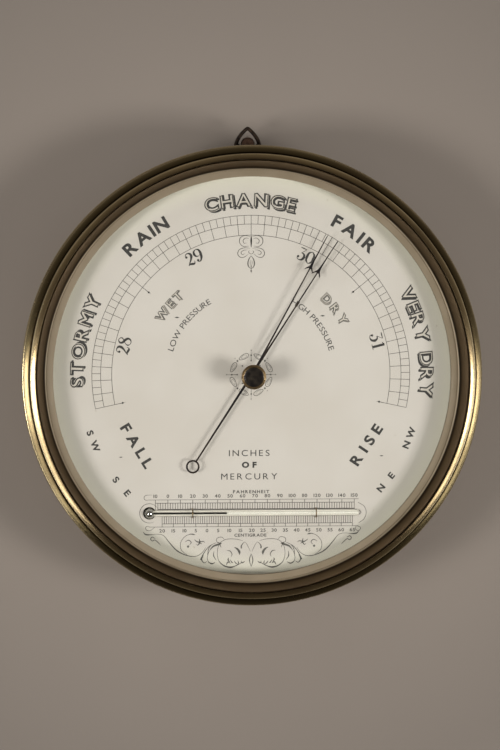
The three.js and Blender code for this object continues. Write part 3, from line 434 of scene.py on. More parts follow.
def flatMesh(loops, back, front, bevel=0.0, turn=0.0):  # loops drawn as seen from the front
    curve = polyCurve("2D", [[(x * mm, z * mm, 0) for x, z in loop] for loop in loops], True)
    curve.fill_mode = "BOTH"
    curve.extrude = ((front - back) / 2 - bevel) * mm
    curve.bevel_depth = bevel * mm
    curve.bevel_resolution = 1
    stand = Matrix.Rotation(math.radians(90), 4, "X")
    place = Matrix.Translation((0, -(back + front) / 2 * mm, 0)) @ stand
    build = bmesh.new()
    build.from_mesh(meshOf(linked("loops", curve)))
    build.transform(Matrix.Rotation(math.radians(turn), 4, "Y") @ place)
    return cleaned(build)


def smoothPath(points, steps=6):  # a curve through the points
    ends = [points[0], *points, points[-1]]
    result = []
    for p0, p1, p2, p3 in zip(ends, ends[1:], ends[2:], ends[3:]):
        for s in range(steps):
            t = s / steps
            result.append(tuple(
                0.5 * (2 * b + (c - a) * t + (2 * a - 5 * b + 4 * c - d) * t ** 2 + (3 * b - a - 3 * c + d) * t ** 3)
                for a, b, c, d in zip(p0, p1, p2, p3)))
    return result + [tuple(points[-1])]


def joined(meshes):
    build = bmesh.new()
    for mesh in meshes:
        build.from_mesh(mesh)
    mesh = bpy.data.meshes.new("shape")
    build.to_mesh(mesh)
    build.free()
    return mesh


# Node trees for what repeats: copies turned about the dial's centre, and copies in a row

def repeatTree(name, turned):
    tree = bpy.data.node_groups.new(name, "GeometryNodeTree")
    names = {}
    for label, kind in (("Piece", "Object"), ("Finish", "Material"), ("Copies", "Int"), ("First", "Float"),
                        ("Step", "Float")):
        socket = tree.interface.new_socket(name=label, in_out="INPUT", socket_type="NodeSocket" + kind)
        names[label] = socket.identifier
    tree.interface.new_socket(name="Geometry", in_out="OUTPUT", socket_type="NodeSocketGeometry")
    given = addNode(tree, "NodeGroupInput").outputs
    index = addNode(tree, "GeometryNodeInputIndex").outputs[0]
    along = addNode(tree, "ShaderNodeMath", {0: index, 1: given["Step"], 2: given["First"]},
                    operation="MULTIPLY_ADD").outputs[0]
    if turned:
        scaled = addNode(tree, "ShaderNodeMath", {0: along}, operation="RADIANS").outputs[0]
    else:
        scaled = mathOf(tree, "MULTIPLY", along, mm)
    vector = addNode(tree, "ShaderNodeCombineXYZ", {int(turned): scaled}).outputs[0]
    points = addNode(tree, "GeometryNodePoints", {"Count": given["Copies"]})
    source = addNode(tree, "GeometryNodeObjectInfo", {"Object": given["Piece"]}).outputs["Geometry"]
    copies = addNode(tree, "GeometryNodeInstanceOnPoints", {"Points": points.outputs[0], "Instance": source})
    if turned:
        feed(tree, copies, {"Rotation": vector})
    else:
        feed(tree, points, {"Position": vector})
    real = addNode(tree, "GeometryNodeRealizeInstances", {0: copies.outputs[0]}).outputs[0]
    coat = addNode(tree, "GeometryNodeSetMaterial", {"Geometry": real, "Material": given["Finish"]})
    addNode(tree, "NodeGroupOutput", {0: coat.outputs[0]})
    return tree, names


turnedCopies = repeatTree("copies turned about the middle", True)
rowOfCopies = repeatTree("copies in a row", False)


def repeated(trees, template, finish, count, first, step):
    tree, names = trees
    master = linked("master", template)
    carrier = linked("carrier", bpy.data.meshes.new("carrier"))
    modifier = carrier.modifiers.new("copies", "NODES")
    modifier.node_group = tree
    values = {"Piece": master, "Finish": finishes[finish], "Copies": count, "First": first, "Step": step}
    for label, value in values.items():
        modifier[names[label]] = value
    mesh = meshOf(carrier)
    bpy.data.objects.remove(master)
    return mesh


# Case: back plate, drum, and the screws of the back

casePlaces = {
    "plateRadius": 109.0, "plateThickness": 2.0, "edge": 0.3,
    "drumRadius": 109.0, "drumBore": 107.4, "flangeBore": 100.0, "drumBack": 2.2, "drumFront": 49.8,
    "flangeFront": 3.8,
    "screwHole": 3.4, "headRadius": 3.1, "headHeight": 1.6, "headSink": 0.2, "shankRadius": 1.5,
    "slotHalfWidth": 0.4, "slotDepth": 0.7, "slotTurn": 17, "tips": {"back_screw": 6.0, "movement_screw": 7.9},
}


def nodeCentre(node):
    low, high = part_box(node)
    return (low + high) / 2 / mm


def slottedScrew(tip):  # its head lies in the back plate, with the slot towards the wall
    p = casePlaces
    back = p["headSink"]
    neck = back + p["headHeight"]
    outline = roundedOutline([(0, back), (p["headRadius"], back), (p["headRadius"], neck),
                              (p["shankRadius"], neck), (p["shankRadius"], tip), (0, tip)], 0.3)
    reach, half = p["headRadius"] + 1, p["slotHalfWidth"]
    bar = [(-reach, -half), (reach, -half), (reach, half), (-reach, half)]
    cutter = linked("slotCutter", flatMesh([bar], back - 1, back + p["slotDepth"], turn=p["slotTurn"]))
    body = linked("screwBody", turnedMesh(outline, screwSteps))
    cut = body.modifiers.new("slot", "BOOLEAN")
    cut.object = cutter
    cut.operation = "DIFFERENCE"
    cut.solver = "EXACT"
    mesh = meshOf(body)
    bpy.data.objects.remove(cutter)
    return mesh


def makeCase():
    p = casePlaces
    screws = [f"back_screw_{i}" for i in range(1, 5)] + [f"movement_screw_{i}" for i in range(1, 4)]
    places = [nodeCentre(node) for node in screws + ["regulating_screw"]]
    holes = [ringPoints(place.x, place.z, p["screwHole"], holeSteps) for place in places]
    rim = ringPoints(0, 0, p["plateRadius"] - p["edge"], roundSteps)
    plate = flatMesh([rim, *holes], 0, p["plateThickness"], p["edge"])
    addPiece("back_plate_turned", plate, "case", "root", "case_brass", "back_plate", sharp=flatSharp)

    wall = [(p["flangeBore"], p["drumBack"]), (p["drumRadius"], p["drumBack"]),
            (p["drumRadius"], p["drumFront"]), (p["drumBore"], p["drumFront"]),
            (p["drumBore"], p["flangeFront"]), (p["flangeBore"], p["flangeFront"])]
    drum = turnedMesh(roundedOutline(wall, p["edge"]), roundSteps)
    addPiece("case_drum_turned", drum, "case", "root", "case_brass", "case_drum")

    for group, tip in p["tips"].items():
        nodes = [node for node in screws if node.startswith(group)]
        centre = nodeCentre(nodes[0])
        middleX = sum(nodeCentre(node).x for node in nodes) / len(nodes)
        radius = math.hypot(centre.x - middleX, centre.z)
        screw = slottedScrew(tip)
        screw.transform(Matrix.Translation((0, 0, radius * mm)))
        first = math.degrees(math.atan2(centre.x - middleX, centre.z))
        ring = repeated(turnedCopies, screw, "brightBrass", len(nodes), first, 360 / len(nodes))
        ring.transform(Matrix.Translation((middleX * mm, 0, 0)))
        addPiece(group + "s", ring, "brightBrass", "root", "bright_brass", *nodes)


# Front: bezel, glass, sight ring and retaining ring

bezelShape = {
    "opening": 105.7, "lipBack": 59.26, "lipFront": 60.46, "lipBevel": 0.42, "pocket": 107.3, "shoulder": 50.1,
    "skirtBore": 109.3, "back": 45.0, "edge": 117.4, "edgeMiddle": 58.7, "edgeHalf": 1.3, "outer": 118.2,
    "bandFoot": (117.35, 63.3), "bandTop": (114.65, 64.3), "bandBulge": 0.11,
    "grooveOut": (114.05, 63.5), "beadFoot": (113.95, 66.75), "beadTop": (111.15, 67.8), "beadBulge": 0.13,
    "grooveIn": (110.85, 66.2), "slopeTop": (110.45, 67.2), "slopeFoot": (106.5, 60.9), "slopeBulge": -0.15,
    "round": 0.22, "steps": 256,
}


def bulged(start, end, bulge, steps=8):  # from start to end, swelling to the left of the way by bulge
    start, end = Vector(start), Vector(end)
    along = end - start
    side = Vector((along.y, -along.x)).normalized() * bulge
    return [tuple(start + along * t + side * 4 * t * (1 - t)) for t in (i / steps for i in range(steps + 1))]


def bezelOutline():
    b = bezelShape
    return [
        (b["opening"], b["lipBack"]), (b["pocket"], b["lipBack"]), (b["pocket"], b["shoulder"]),
        (b["skirtBore"], b["shoulder"]), (b["skirtBore"], b["back"]), (b["edge"] - 1, b["back"]),
        (b["edge"], b["back"] + 1),
        *arcPoints(b["edge"], b["edgeMiddle"], b["outer"] - b["edge"], b["edgeHalf"], -90, 90, 10),
        *bulged(b["bandFoot"], b["bandTop"], b["bandBulge"]), b["grooveOut"],
        *bulged(b["beadFoot"], b["beadTop"], b["beadBulge"]), b["grooveIn"],
        *bulged(b["slopeTop"], b["slopeFoot"], b["slopeBulge"]),
        (b["opening"] + b["lipBevel"], b["lipFront"]), (b["opening"], b["lipFront"] - b["lipBevel"]),
    ]


# the turned pieces behind the bezel: an outline has distances from the middle and from the wall
innerPieces = {
    "glass_bevelled": {
        "node": "glass", "finish": "glass", "slot": "glass", "sharp": 12, "round": 0.12,
        "outline": [(2.2, 56.8), (107.0, 56.8), (107.0, 58.7), (102.3, glassFace), (2.2, glassFace)]},
    "sight_ring_turned": {
        "node": "sight_ring", "finish": "ringPaint", "slot": "ring_paint", "sharp": 32, "round": 0.2,
        "outline": [(103.7, 48.0), (107.1, 48.0), (107.1, 55.1), (106.2, 55.1)]},
    "retaining_ring_turned": {
        "node": "glass_retaining_ring", "finish": "case", "slot": "bright_brass", "sharp": 32, "round": 0.2,
        "outline": [(105.1, 55.3), (107.0, 55.3), (107.0, 56.6), (105.1, 56.6)]},
}


def makeFront():
    b = bezelShape
    bezel = turnedMesh(roundedOutline(bezelOutline(), b["round"], 2), b["steps"])
    addPiece("bezel_turned", bezel, "bezel", "root", "bezel_brass", "bezel", sharp=40)
    for name, p in innerPieces.items():
        mesh = turnedMesh(roundedOutline(p["outline"], p["round"], 2), roundSteps)
        addPiece(name, mesh, p["finish"], "root", p["slot"], p["node"], sharp=p["sharp"])


# Dial plate and its print

dialPlate = {"radius": 107.1, "back": 46.2, "edge": 0.15, "arborHole": 3.0, "bulbHole": 3.2,
             "bulb": (-52.55, -71.4)}


def makeDialPlate():
    p = dialPlate
    loops = [ringPoints(0, 0, p["radius"] - p["edge"], roundSteps),
             ringPoints(0, 0, p["arborHole"] + p["edge"], holeSteps),
             ringPoints(*p["bulb"], p["bulbHole"] + p["edge"], holeSteps)]
    plate = flatMesh(loops, p["back"], dialFace, p["edge"])
    addPiece("dial_plate_painted", plate, "dial", "root", "dial_paint", "dial_plate", sharp=flatSharp)


inkLayer = {"back": dialFace - 0.03, "front": dialFace + 0.04, "leastWidth": 0.02, "dotSteps": 14}


def newSheet():
    return {"points": [], "faces": []}


def stroke(sheet, path, widths, closed=False):  # a printed line, as wide along its length as the widths say
    widths = widths if isinstance(widths, (list, tuple)) else [widths]
    count = len(path)
    base = len(sheet["points"])
    for i, (x, z) in enumerate(path):
        before = path[i - 1] if i or closed else path[0]
        after = path[(i + 1) % count] if i + 1 < count or closed else path[-1]
        along = (Vector(after) - Vector(before)).normalized()
        share = i / max(count - 1, 1) * (len(widths) - 1)
        low = min(int(share), len(widths) - 1)
        high = min(low + 1, len(widths) - 1)
        half = max(widths[low] + (widths[high] - widths[low]) * (share - low), inkLayer["leastWidth"]) / 2
        left, right = (x - along.y * half, z + along.x * half), (x + along.y * half, z - along.x * half)
        for (px, pz), d in ((left, inkLayer["front"]), (right, inkLayer["front"]),
                            (right, inkLayer["back"]), (left, inkLayer["back"])):
            sheet["points"].append((px * mm, -d * mm, pz * mm))
    for i in range(count if closed else count - 1):
        near, far = base + 4 * i, base + 4 * ((i + 1) % count)
        for k in range(4):
            m = (k + 1) % 4
            sheet["faces"].append((near + k, near + m, far + m, far + k))
    if not closed:
        last = base + 4 * (count - 1)
        sheet["faces"] += [(base + 3, base + 2, base + 1, base), (last, last + 1, last + 2, last + 3)]


def blot(sheet, x, z, radius):  # a printed dot
    base, steps = len(sheet["points"]), inkLayer["dotSteps"]
    for d in (inkLayer["front"], inkLayer["back"]):
        sheet["points"] += [(px * mm, -d * mm, pz * mm) for px, pz in ringPoints(x, z, radius, steps)]
    sheet["faces"] += [tuple(base + i for i in range(steps)), tuple(base + 2 * steps - 1 - i for i in range(steps))]
    sheet["faces"] += [(base + (i + 1) % steps, base + i, base + steps + i, base + steps + (i + 1) % steps)
                       for i in range(steps)]


def mirroredStroke(sheet, points, widths):
    for sign in (1, -1):
        stroke(sheet, smoothPath([(sign * x, z) for x, z in points]), widths)


def sheetMesh(sheet):
    mesh = bpy.data.meshes.new("print")
    mesh.from_pydata(sheet["points"], [], sheet["faces"])
    build = bmesh.new()
    build.from_mesh(mesh)
    bmesh.ops.recalc_face_normals(build, faces=build.faces)
    build.to_mesh(mesh)
    build.free()
    return mesh


def barMesh(start, end, width):
    bar = newSheet()
    stroke(bar, [(0, start), (0, end)], width)
    return sheetMesh(bar)


# Plain letters from Blender's own font, one shape for each letter and weight

typeface = {
    "plain": 0.0, "firm": 0.025, "bold": 0.035, "heavy": 0.055,  # how much each weight thickens a letter
    "openLine": 0.048, "wordGap": 0.42, "letterGap": 0.16, "widen": 1.14, "openWiden": 1.12, "shadeDrop": 0.13,
    "shadeRise": 0.01, "faceRise": 0.03, "lineRise": 0.05,  # the layers of shaded letters, one over the other
    "thickness": 0.05,
}
letterShapes = {}


def letterShape(letter, style):
    if (letter, style) in letterShapes:
        return letterShapes[letter, style]
    text = bpy.data.curves.new("letter", "FONT")
    text.body = letter
    text.size = 1
    if style == "open":
        text.fill_mode = "NONE"
        text.offset = typeface["bold"]
        text.bevel_depth = typeface["openLine"]
        text.bevel_resolution = 0
    else:
        text.offset = typeface[style]
        text.extrude = typeface["thickness"]
    mesh = meshOf(linked("letter", text))
    points = [tuple(v.co) for v in mesh.vertices]
    faces = [tuple(face.vertices) for face in mesh.polygons]
    low, high = min(p[0] for p in points), max(p[0] for p in points)
    deep = max(abs(p[2]) for p in points)
    letterShapes[letter, style] = (points, faces, low, high, deep)
    return letterShapes[letter, style]


def capHeight(style):
    points = letterShape("H", style)[0]
    return max(p[1] for p in points) - min(p[1] for p in points)


def letterAt(sheet, letter, style, x, z, height, turn, rise=0.0, widen=typeface["widen"]):
    points, faces, low, high, deep = letterShape(letter, style)
    foot = min(p[1] for p in letterShape("H", style)[0])
    size = height / capHeight(style)
    angle = math.radians(turn)
    middle, half = (inkLayer["front"] + inkLayer["back"]) / 2, (inkLayer["front"] - inkLayer["back"]) / 2
    base = len(sheet["points"])
    for px, py, pz in points:
        right, up = (px - (low + high) / 2) * size * widen, (py - foot) * size - height / 2
        sheet["points"].append(((x + right * math.cos(angle) + up * math.sin(angle)) * mm,
                                -(middle + rise + pz / deep * half) * mm,
                                (z - right * math.sin(angle) + up * math.cos(angle)) * mm))
    sheet["faces"] += [tuple(base + i for i in face) for face in faces]


def letterPlaces(word, style, height, span=None, widen=typeface["widen"]):  # middles of the letters over the span
    size = height / capHeight(style) * widen
    widths = []
    for letter in word:
        low, high = letterShape(letter, style)[2:4] if letter != " " else (0, 0)
        widths.append(typeface["wordGap"] * height if letter == " " else (high - low) * size)
    gaps = max(len(word) - 1, 1)
    gap = typeface["letterGap"] * height if span is None else (span - sum(widths)) / gaps
    place, result = -(sum(widths) + gap * (len(word) - 1)) / 2, []
    for letter, width in zip(word, widths):
        result.append((letter, place + width / 2))
        place += width + gap
    return [(letter, at) for letter, at in result if letter != " "]


def arcWord(sheet, word, azimuth, radius, height, span, style):
    for letter, at in letterPlaces(word, style, height, math.radians(span) * radius):
        angle = azimuth + math.degrees(at / radius)
        letterAt(sheet, letter, style, *polar(angle, radius), height, angle)


def shadedArcWord(shade, face, line, word, azimuth, radius, height, span):  # open letters that cast a printed shade
    t = typeface
    drop, widen = t["shadeDrop"] * height, t["openWiden"]
    for letter, at in letterPlaces(word, "bold", height, math.radians(span) * radius, widen):
        turn = azimuth + math.degrees(at / radius)
        middle, right, up = Vector(polar(turn, radius)), Vector(polar(turn + 90, 1)), Vector(polar(turn, 1))
        for step in (1.0, 0.5):
            place = middle + (right - up) * drop * step
            letterAt(shade, letter, "plain", *place, height, turn, t["shadeRise"] * (1 - step), widen)
        letterAt(face, letter, "plain", *middle, height, turn, t["faceRise"], widen)
        letterAt(line, letter, "open", *middle, height, turn, t["lineRise"], widen)


def straightWord(sheet, word, x, z, height, span, turn, style):
    angle = math.radians(turn)
    for letter, at in letterPlaces(word, style, height, span):
        letterAt(sheet, letter, style, x + at * math.cos(angle), z - at * math.sin(angle), height, turn)


# Numerals drawn with thick and thin strokes, in a frame one high and one wide

numerals = {
    "0": [([(0.32, 1.0), (0.10, 0.80), (0.06, 0.5), (0.10, 0.20), (0.32, 0.0)], [0.04, 0.15, 0.20, 0.15, 0.04]),
          ([(0.32, 0.0), (0.54, 0.20), (0.58, 0.5), (0.54, 0.80), (0.32, 1.0)], [0.04, 0.15, 0.20, 0.15, 0.04])],
    "1": [([(0.32, 1.0), (0.32, 0.5), (0.32, 0.03)], [0.19, 0.19, 0.19]),
          ([(0.10, 0.86), (0.20, 0.90), (0.28, 0.99)], [0.03, 0.06, 0.09]),
          ([(0.10, 0.02), (0.32, 0.02), (0.54, 0.02)], [0.05, 0.05, 0.05])],
    "2": [([(0.10, 0.74), (0.14, 0.92), (0.32, 0.99), (0.52, 0.88), (0.54, 0.66), (0.38, 0.40), (0.14, 0.16),
            (0.05, 0.04)], [0.05, 0.05, 0.07, 0.17, 0.21, 0.13, 0.05, 0.04]),
          ([(0.05, 0.06), (0.18, 0.12), (0.34, 0.08), (0.50, 0.03), (0.60, 0.10), (0.63, 0.24)],
           [0.05, 0.13, 0.19, 0.15, 0.07, 0.03])],
    "3": [([(0.09, 0.97), (0.30, 0.97), (0.58, 0.97)], [0.07, 0.09, 0.05]),
          ([(0.57, 0.96), (0.42, 0.76), (0.28, 0.58)], [0.04, 0.04, 0.04]),
          ([(0.26, 0.58), (0.48, 0.55), (0.59, 0.34), (0.50, 0.09), (0.28, 0.0), (0.10, 0.08), (0.10, 0.22)],
           [0.05, 0.12, 0.21, 0.16, 0.06, 0.05, 0.06])],
    "8": [([(0.50, 0.90), (0.32, 1.0), (0.14, 0.86), (0.18, 0.66), (0.40, 0.50), (0.57, 0.30), (0.50, 0.07),
            (0.30, 0.0), (0.12, 0.07)], [0.06, 0.05, 0.14, 0.17, 0.20, 0.17, 0.10, 0.05, 0.05]),
          ([(0.50, 0.90), (0.52, 0.74), (0.36, 0.57), (0.14, 0.40), (0.06, 0.22), (0.12, 0.07)],
           [0.07, 0.09, 0.05, 0.05, 0.10, 0.06])],
    "9": [([(0.34, 1.0), (0.13, 0.90), (0.07, 0.70), (0.14, 0.50), (0.32, 0.42)], [0.04, 0.13, 0.19, 0.13, 0.04]),
          ([(0.34, 1.0), (0.52, 0.88), (0.57, 0.62), (0.52, 0.30), (0.36, 0.05), (0.20, 0.0), (0.11, 0.10)],
           [0.04, 0.14, 0.20, 0.19, 0.11, 0.05, 0.05]),
          ([(0.32, 0.42), (0.44, 0.47), (0.51, 0.56)], [0.04, 0.04, 0.04])],
}
numeralDots = {"2": (0.15, 0.74), "3": (0.14, 0.22), "9": (0.16, 0.14)}
numeralForm = {"pitch": 0.74, "middle": 0.32, "dot": 0.095}


def numeral(sheet, digits, azimuth, radius, height):
    f = numeralForm
    right, up = Vector(polar(azimuth + 90, 1)), Vector(polar(azimuth, 1))
    for i, digit in enumerate(digits):
        shift = (i - (len(digits) - 1) / 2) * f["pitch"] - f["middle"]

        def place(x, y):
            return tuple(up * (radius + (y - 0.5) * height) + right * ((x + shift) * height))

        for points, widths in numerals[digit]:
            stroke(sheet, smoothPath([place(x, y) for x, y in points], 5), [w * height for w in widths])
        if digit in numeralDots:
            blot(sheet, *place(*numeralDots[digit]), f["dot"] * height)


pressureScale = {
    "radii": (71.8, 77.5, 82.0), "degreesPerTenth": 5.11, "first": -102.2, "tenths": 40, "line": 0.27,
    "arcSteps": 160, "pointers": (-102.2, -51.1, 51.1, 102.2), "pointer": 66.3, "pointerDot": 67.7,
    "pointerWidths": [0.22, 0.3, 0.05], "pointerDotSize": 0.5,
    "numerals": {"28": -77.0, "29": -26.0, "30": 24.8, "31": 75.4}, "numeralRadius": 67.3, "numeralHeight": 6.5,
}
# word, azimuth, radius, height and span in degrees
arcWords = [
    ("RAIN", -37.2, 90.0, 6.7, 17.0, "bold"), ("FAIR", 36.3, 90.2, 6.7, 16.6, "bold"),
    ("LOW PRESSURE", -51.2, 43.4, 2.9, 44.0, "plain"), ("HIGH PRESSURE", 51.2, 43.4, 2.9, 44.0, "plain"),
]
shadedWords = [
    ("STORMY", -78.4, 89.8, 7.2, 31.0), ("CHANGE", -0.3, 89.9, 7.3, 30.5), ("VERY DRY", 79.2, 91.0, 7.2, 37.0),
]
shadedFaintWords = [("WET", -50.4, 55.4, 4.9, 19.5), ("DRY", 52.2, 55.2, 4.9, 19.5)]
# word, x, z, height, span in millimetres and turn
straightWords = [
    ("FALL", -58.9, -36.6, 5.6, 25.2, 58.8, "bold"), ("RISE", 59.6, -36.6, 5.6, 23.6, -55.9, "bold"),
    ("S W", -81.3, -34.0, 3.5, 11.5, 68.8, "bold"), ("S E", -66.8, -57.4, 3.5, 11.5, 50.2, "bold"),
    ("N W", 81.8, -33.0, 3.5, 11.5, -68.8, "bold"), ("N E", 69.7, -56.0, 3.5, 11.5, -50.2, "bold"),
    ("INCHES", -1.0, -40.5, 3.1, 21.0, 0.0, "plain"), ("OF", -1.0, -46.6, 3.1, 7.6, 0.0, "heavy"),
    ("MERCURY", -1.0, -52.6, 3.1, 29.0, 0.0, "plain"),
]
# short dashes between words: x, z and size
dashes = [(-38.2, 29.6, 0.8), (36.9, 30.2, 0.8), (-67.2, -42.3, 0.6), (67.5, -42.3, 0.6)]
dashHalf = 1.6  # half the length of a dash of size one


def makePressureScale():
    s = pressureScale
    inner, middle, outer = s["radii"]
    sheet, faint, face, shade = (newSheet() for _ in range(4))
    reach = s["tenths"] * s["degreesPerTenth"]
    for radius in s["radii"]:
        steps = s["arcSteps"]
        stroke(faint, [polar(s["first"] + reach * i / steps, radius) for i in range(steps + 1)], s["line"])
    for azimuth in s["pointers"]:
        places = [polar(azimuth, radius) for radius in (inner, s["pointerDot"], s["pointer"])]
        stroke(sheet, places, s["pointerWidths"])
        blot(sheet, *places[1], s["pointerDotSize"])
    for digits, azimuth in s["numerals"].items():
        numeral(sheet, digits, azimuth, s["numeralRadius"], s["numeralHeight"])
    for word in arcWords:
        arcWord(sheet, *word)
    for word in shadedWords:
        shadedArcWord(sheet, face, sheet, *word)
    for word in shadedFaintWords:
        shadedArcWord(shade, face, faint, *word)
    for word in straightWords:
        straightWord(sheet, *word)
    for x, z, size in dashes:
        stroke(sheet, [(x - dashHalf * size, z), (x, z), (x + dashHalf * size, z)], [0.05, size, 0.05])
    addPrint("dial_print", sheetMesh(sheet), "ink")
    addPrint("dial_letter_faces", sheetMesh(face), "letterFace")
    addPrint("dial_letter_shades", sheetMesh(shade), "shadeInk")
    tenth = s["degreesPerTenth"]
    tenths = repeated(turnedCopies, barMesh(inner, outer, s["line"]), "faintInk", s["tenths"] + 1, s["first"], tenth)
    halves = repeated(turnedCopies, barMesh(middle, outer, s["line"]), "faintInk", s["tenths"],
                      s["first"] + tenth / 2, tenth)
    addPrint("dial_scale_lines", joined([tenths, halves, sheetMesh(faint)]), "faintInk")


# Ornament: a fleuron at the top, a rosette round the arbor, and scrolls under the thermometer

ornament = {
    "rosetteRadius": 9.9, "leafAngle": 22.5, "leafHalfLength": 2.7, "leafHalfWidth": 1.45, "leafLean": 0.12,
    "leafLines": ((1.0, 0.3), (0.55, 0.15)), "leafSteps": 24,
    "rosetteDots": [(0, 10.0, 0.42), (0, 12.6, 0.3), (0, 7.2, 0.4), (45, 10.0, 0.5), (45, 11.8, 0.25),
                    (45, 6.4, 0.4)],
    "dots": [(0, 53.4, 0.45), (32.6, -88.7, 0.6), (-32.6, -88.7, 0.6)],
    "stem": ([(0, 56.2), (0, 52.2)], [0.5, 0.12]), "tick": ([(0, 7.6), (0, 9.6), (0, 12.4)], [0.3, 0.22, 0.1]),
    "scrollWeight": 1.4,
    "scrolls": [
        ([(-5.0, -89.9), (-5.1, -88.6), (-4.1, -87.1), (-3.2, -86.5)], [0.5, 0.45, 0.2, 0.1]),
        ([(-3.2, -86.5), (-2.2, -87.7), (-1.3, -89.5), (-0.4, -91.5)], [0.1, 0.16, 0.16, 0.1]),
        ([(-8.8, -89.2), (-7.2, -90.1), (-6.1, -91.7), (-6.1, -93.2)], [0.1, 0.7, 0.9, 0.1]),
        ([(-4.3, -85.9), (-8.1, -85.0), (-13.2, -85.2), (-16.4, -87.5), (-17.5, -91.7), (-16.8, -96.0),
          (-14.3, -98.6), (-11.0, -99.6), (-8.1, -98.9), (-5.4, -97.5), (-3.2, -96.5)],
         [0.1, 0.2, 0.2, 0.2, 0.16, 0.2, 0.4, 0.6, 0.3, 0.25, 0.1]),
        ([(-21.4, -90.7), (-19.6, -88.7), (-17.2, -87.8), (-15.3, -87.2)], [0.15, 0.6, 0.7, 0.2]),
        ([(-16.7, -86.5), (-16.1, -88.0), (-15.5, -89.4)], [0.1, 0.35, 0.1]),
        ([(-22.0, -96.9), (-20.3, -97.7), (-18.6, -96.9)], [0.3, 0.5, 0.1]),
        ([(-22.0, -96.9), (-22.7, -94.8), (-22.0, -91.8), (-21.1, -90.4)], [0.25, 0.2, 0.2, 0.1]),
        ([(-26.2, -95.7), (-24.3, -91.9), (-21.7, -88.7), (-18.2, -86.8)], [0.45, 0.3, 0.25, 0.15]),
        ([(-22.6, -93.0), (-22.0, -90.0), (-20.5, -87.9)], [0.1, 0.3, 0.1]),
        ([(-15.8, -87.2), (-17.7, -86.4), (-17.6, -84.5), (-15.3, -83.9), (-13.9, -85.1)], [0.3, 0.2, 0.2, 0.2, 0.1]),
        ([(-53.3, -82.8), (-48.6, -82.2), (-45.2, -83.0), (-42.4, -86.4), (-38.2, -90.9), (-33.0, -93.4),
          (-28.6, -93.8), (-25.3, -91.9), (-23.6, -89.3)], [0.1, 0.15, 0.2, 0.3, 0.45, 0.3, 0.2, 0.2, 0.1]),
        ([(-30.1, -82.1), (-33.8, -83.2), (-36.4, -86.6), (-36.1, -90.4), (-33.2, -93.0)], [0.2, 0.2, 0.2, 0.2, 0.1]),
        ([(-31.8, -82.2), (-30.1, -82.4), (-28.9, -82.7)], [0.1, 0.5, 0.1]),
        ([(-29.4, -85.1), (-27.5, -86.4), (-24.8, -86.1), (-24.0, -86.8)], [0.15, 0.45, 0.3, 0.1]),
        ([(-26.9, -84.7), (-26.6, -86.4), (-27.5, -88.0), (-28.4, -87.5)], [0.15, 0.45, 0.3, 0.1]),
        ([(-25.5, -87.5), (-26.2, -87.0), (-26.9, -87.3)], [0.1, 0.35, 0.1]),
        ([(-55.8, -81.0), (-54.3, -82.4), (-50.3, -82.4)], [0.1, 0.5, 0.1]),
        ([(-49.6, -84.4), (-51.1, -83.7), (-51.9, -84.7), (-51.0, -85.7), (-49.7, -85.2), (-48.0, -86.6),
          (-46.7, -88.0)], [0.2, 0.3, 0.3, 0.3, 0.25, 0.3, 0.1]),
        ([(-11.7, -94.6), (-11.9, -95.8), (-11.0, -96.9)], [0.15, 0.5, 0.1]),
        ([(-10.8, -95.7), (-10.0, -97.0), (-9.3, -97.3)], [0.1, 0.45, 0.1]),
        ([(-8.8, -96.3), (-8.1, -97.3), (-6.9, -98.3)], [0.1, 0.4, 0.1]),
        ([(-6.9, -96.1), (-6.6, -97.3), (-6.9, -98.2)], [0.1, 0.4, 0.1]),
        ([(-5.1, -96.3), (-5.0, -97.3), (-4.1, -97.2), (-3.4, -96.5)], [0.1, 0.3, 0.25, 0.1]),
        ([(0.0, -92.6), (-0.7, -94.8), (-0.8, -96.6), (0.0, -99.4)], [0.1, 0.35, 0.35, 0.1]),
        ([(-12.9, -98.4), (-12.0, -96.9), (-10.6, -97.6)], [0.1, 0.5, 0.1]),
        ([(-18.0, -96.0), (-19.4, -93.6), (-19.2, -91.2)], [0.1, 0.4, 0.1]),
        ([(-24.6, -93.2), (-25.6, -95.4), (-24.4, -97.2), (-22.8, -96.4)], [0.1, 0.4, 0.3, 0.1]),
        ([(-12.6, -90.9), (-10.9, -91.2), (-9.9, -92.8), (-10.4, -94.2)], [0.1, 0.35, 0.3, 0.1]),
        ([(-34.2, -86.4), (-32.4, -85.4), (-31.0, -86.6), (-32.0, -88.0)], [0.1, 0.3, 0.3, 0.1]),
    ],
    "fleuron": [
        ([(0.0, 71.6), (0.0, 69.0), (0.0, 65.6)], [0.2, 0.85, 0.25]),
        ([(-0.5, 71.0), (-3.2, 71.6), (-5.6, 70.4), (-5.9, 67.8), (-4.0, 66.0), (-1.2, 66.2)],
         [0.1, 0.3, 0.4, 0.35, 0.3, 0.1]),
        ([(-1.1, 70.0), (-2.7, 70.3), (-4.1, 69.2), (-3.7, 67.7), (-2.4, 67.8)], [0.1, 0.3, 0.35, 0.3, 0.12]),
        ([(-0.5, 65.0), (-3.3, 65.3), (-6.0, 64.4), (-6.9, 62.3), (-5.7, 60.5), (-3.4, 60.6), (-1.4, 62.2)],
         [0.1, 0.3, 0.35, 0.4, 0.35, 0.3, 0.1]),
        ([(-1.9, 64.2), (-3.9, 64.0), (-5.2, 62.9), (-4.5, 61.8), (-3.3, 62.3)], [0.1, 0.3, 0.35, 0.3, 0.12]),
        ([(-0.9, 63.9), (-1.3, 63.1), (-0.6, 62.3), (0.0, 62.1)], [0.2, 0.3, 0.3, 0.2]),
        ([(0.0, 61.2), (-1.2, 59.4), (-1.7, 57.2), (-1.2, 55.5), (-0.2, 54.6)], [0.15, 0.5, 0.65, 0.45, 0.12]),
        ([(-0.4, 59.0), (-0.5, 57.4), (-0.2, 56.2)], [0.1, 0.25, 0.1]),
    ],
}


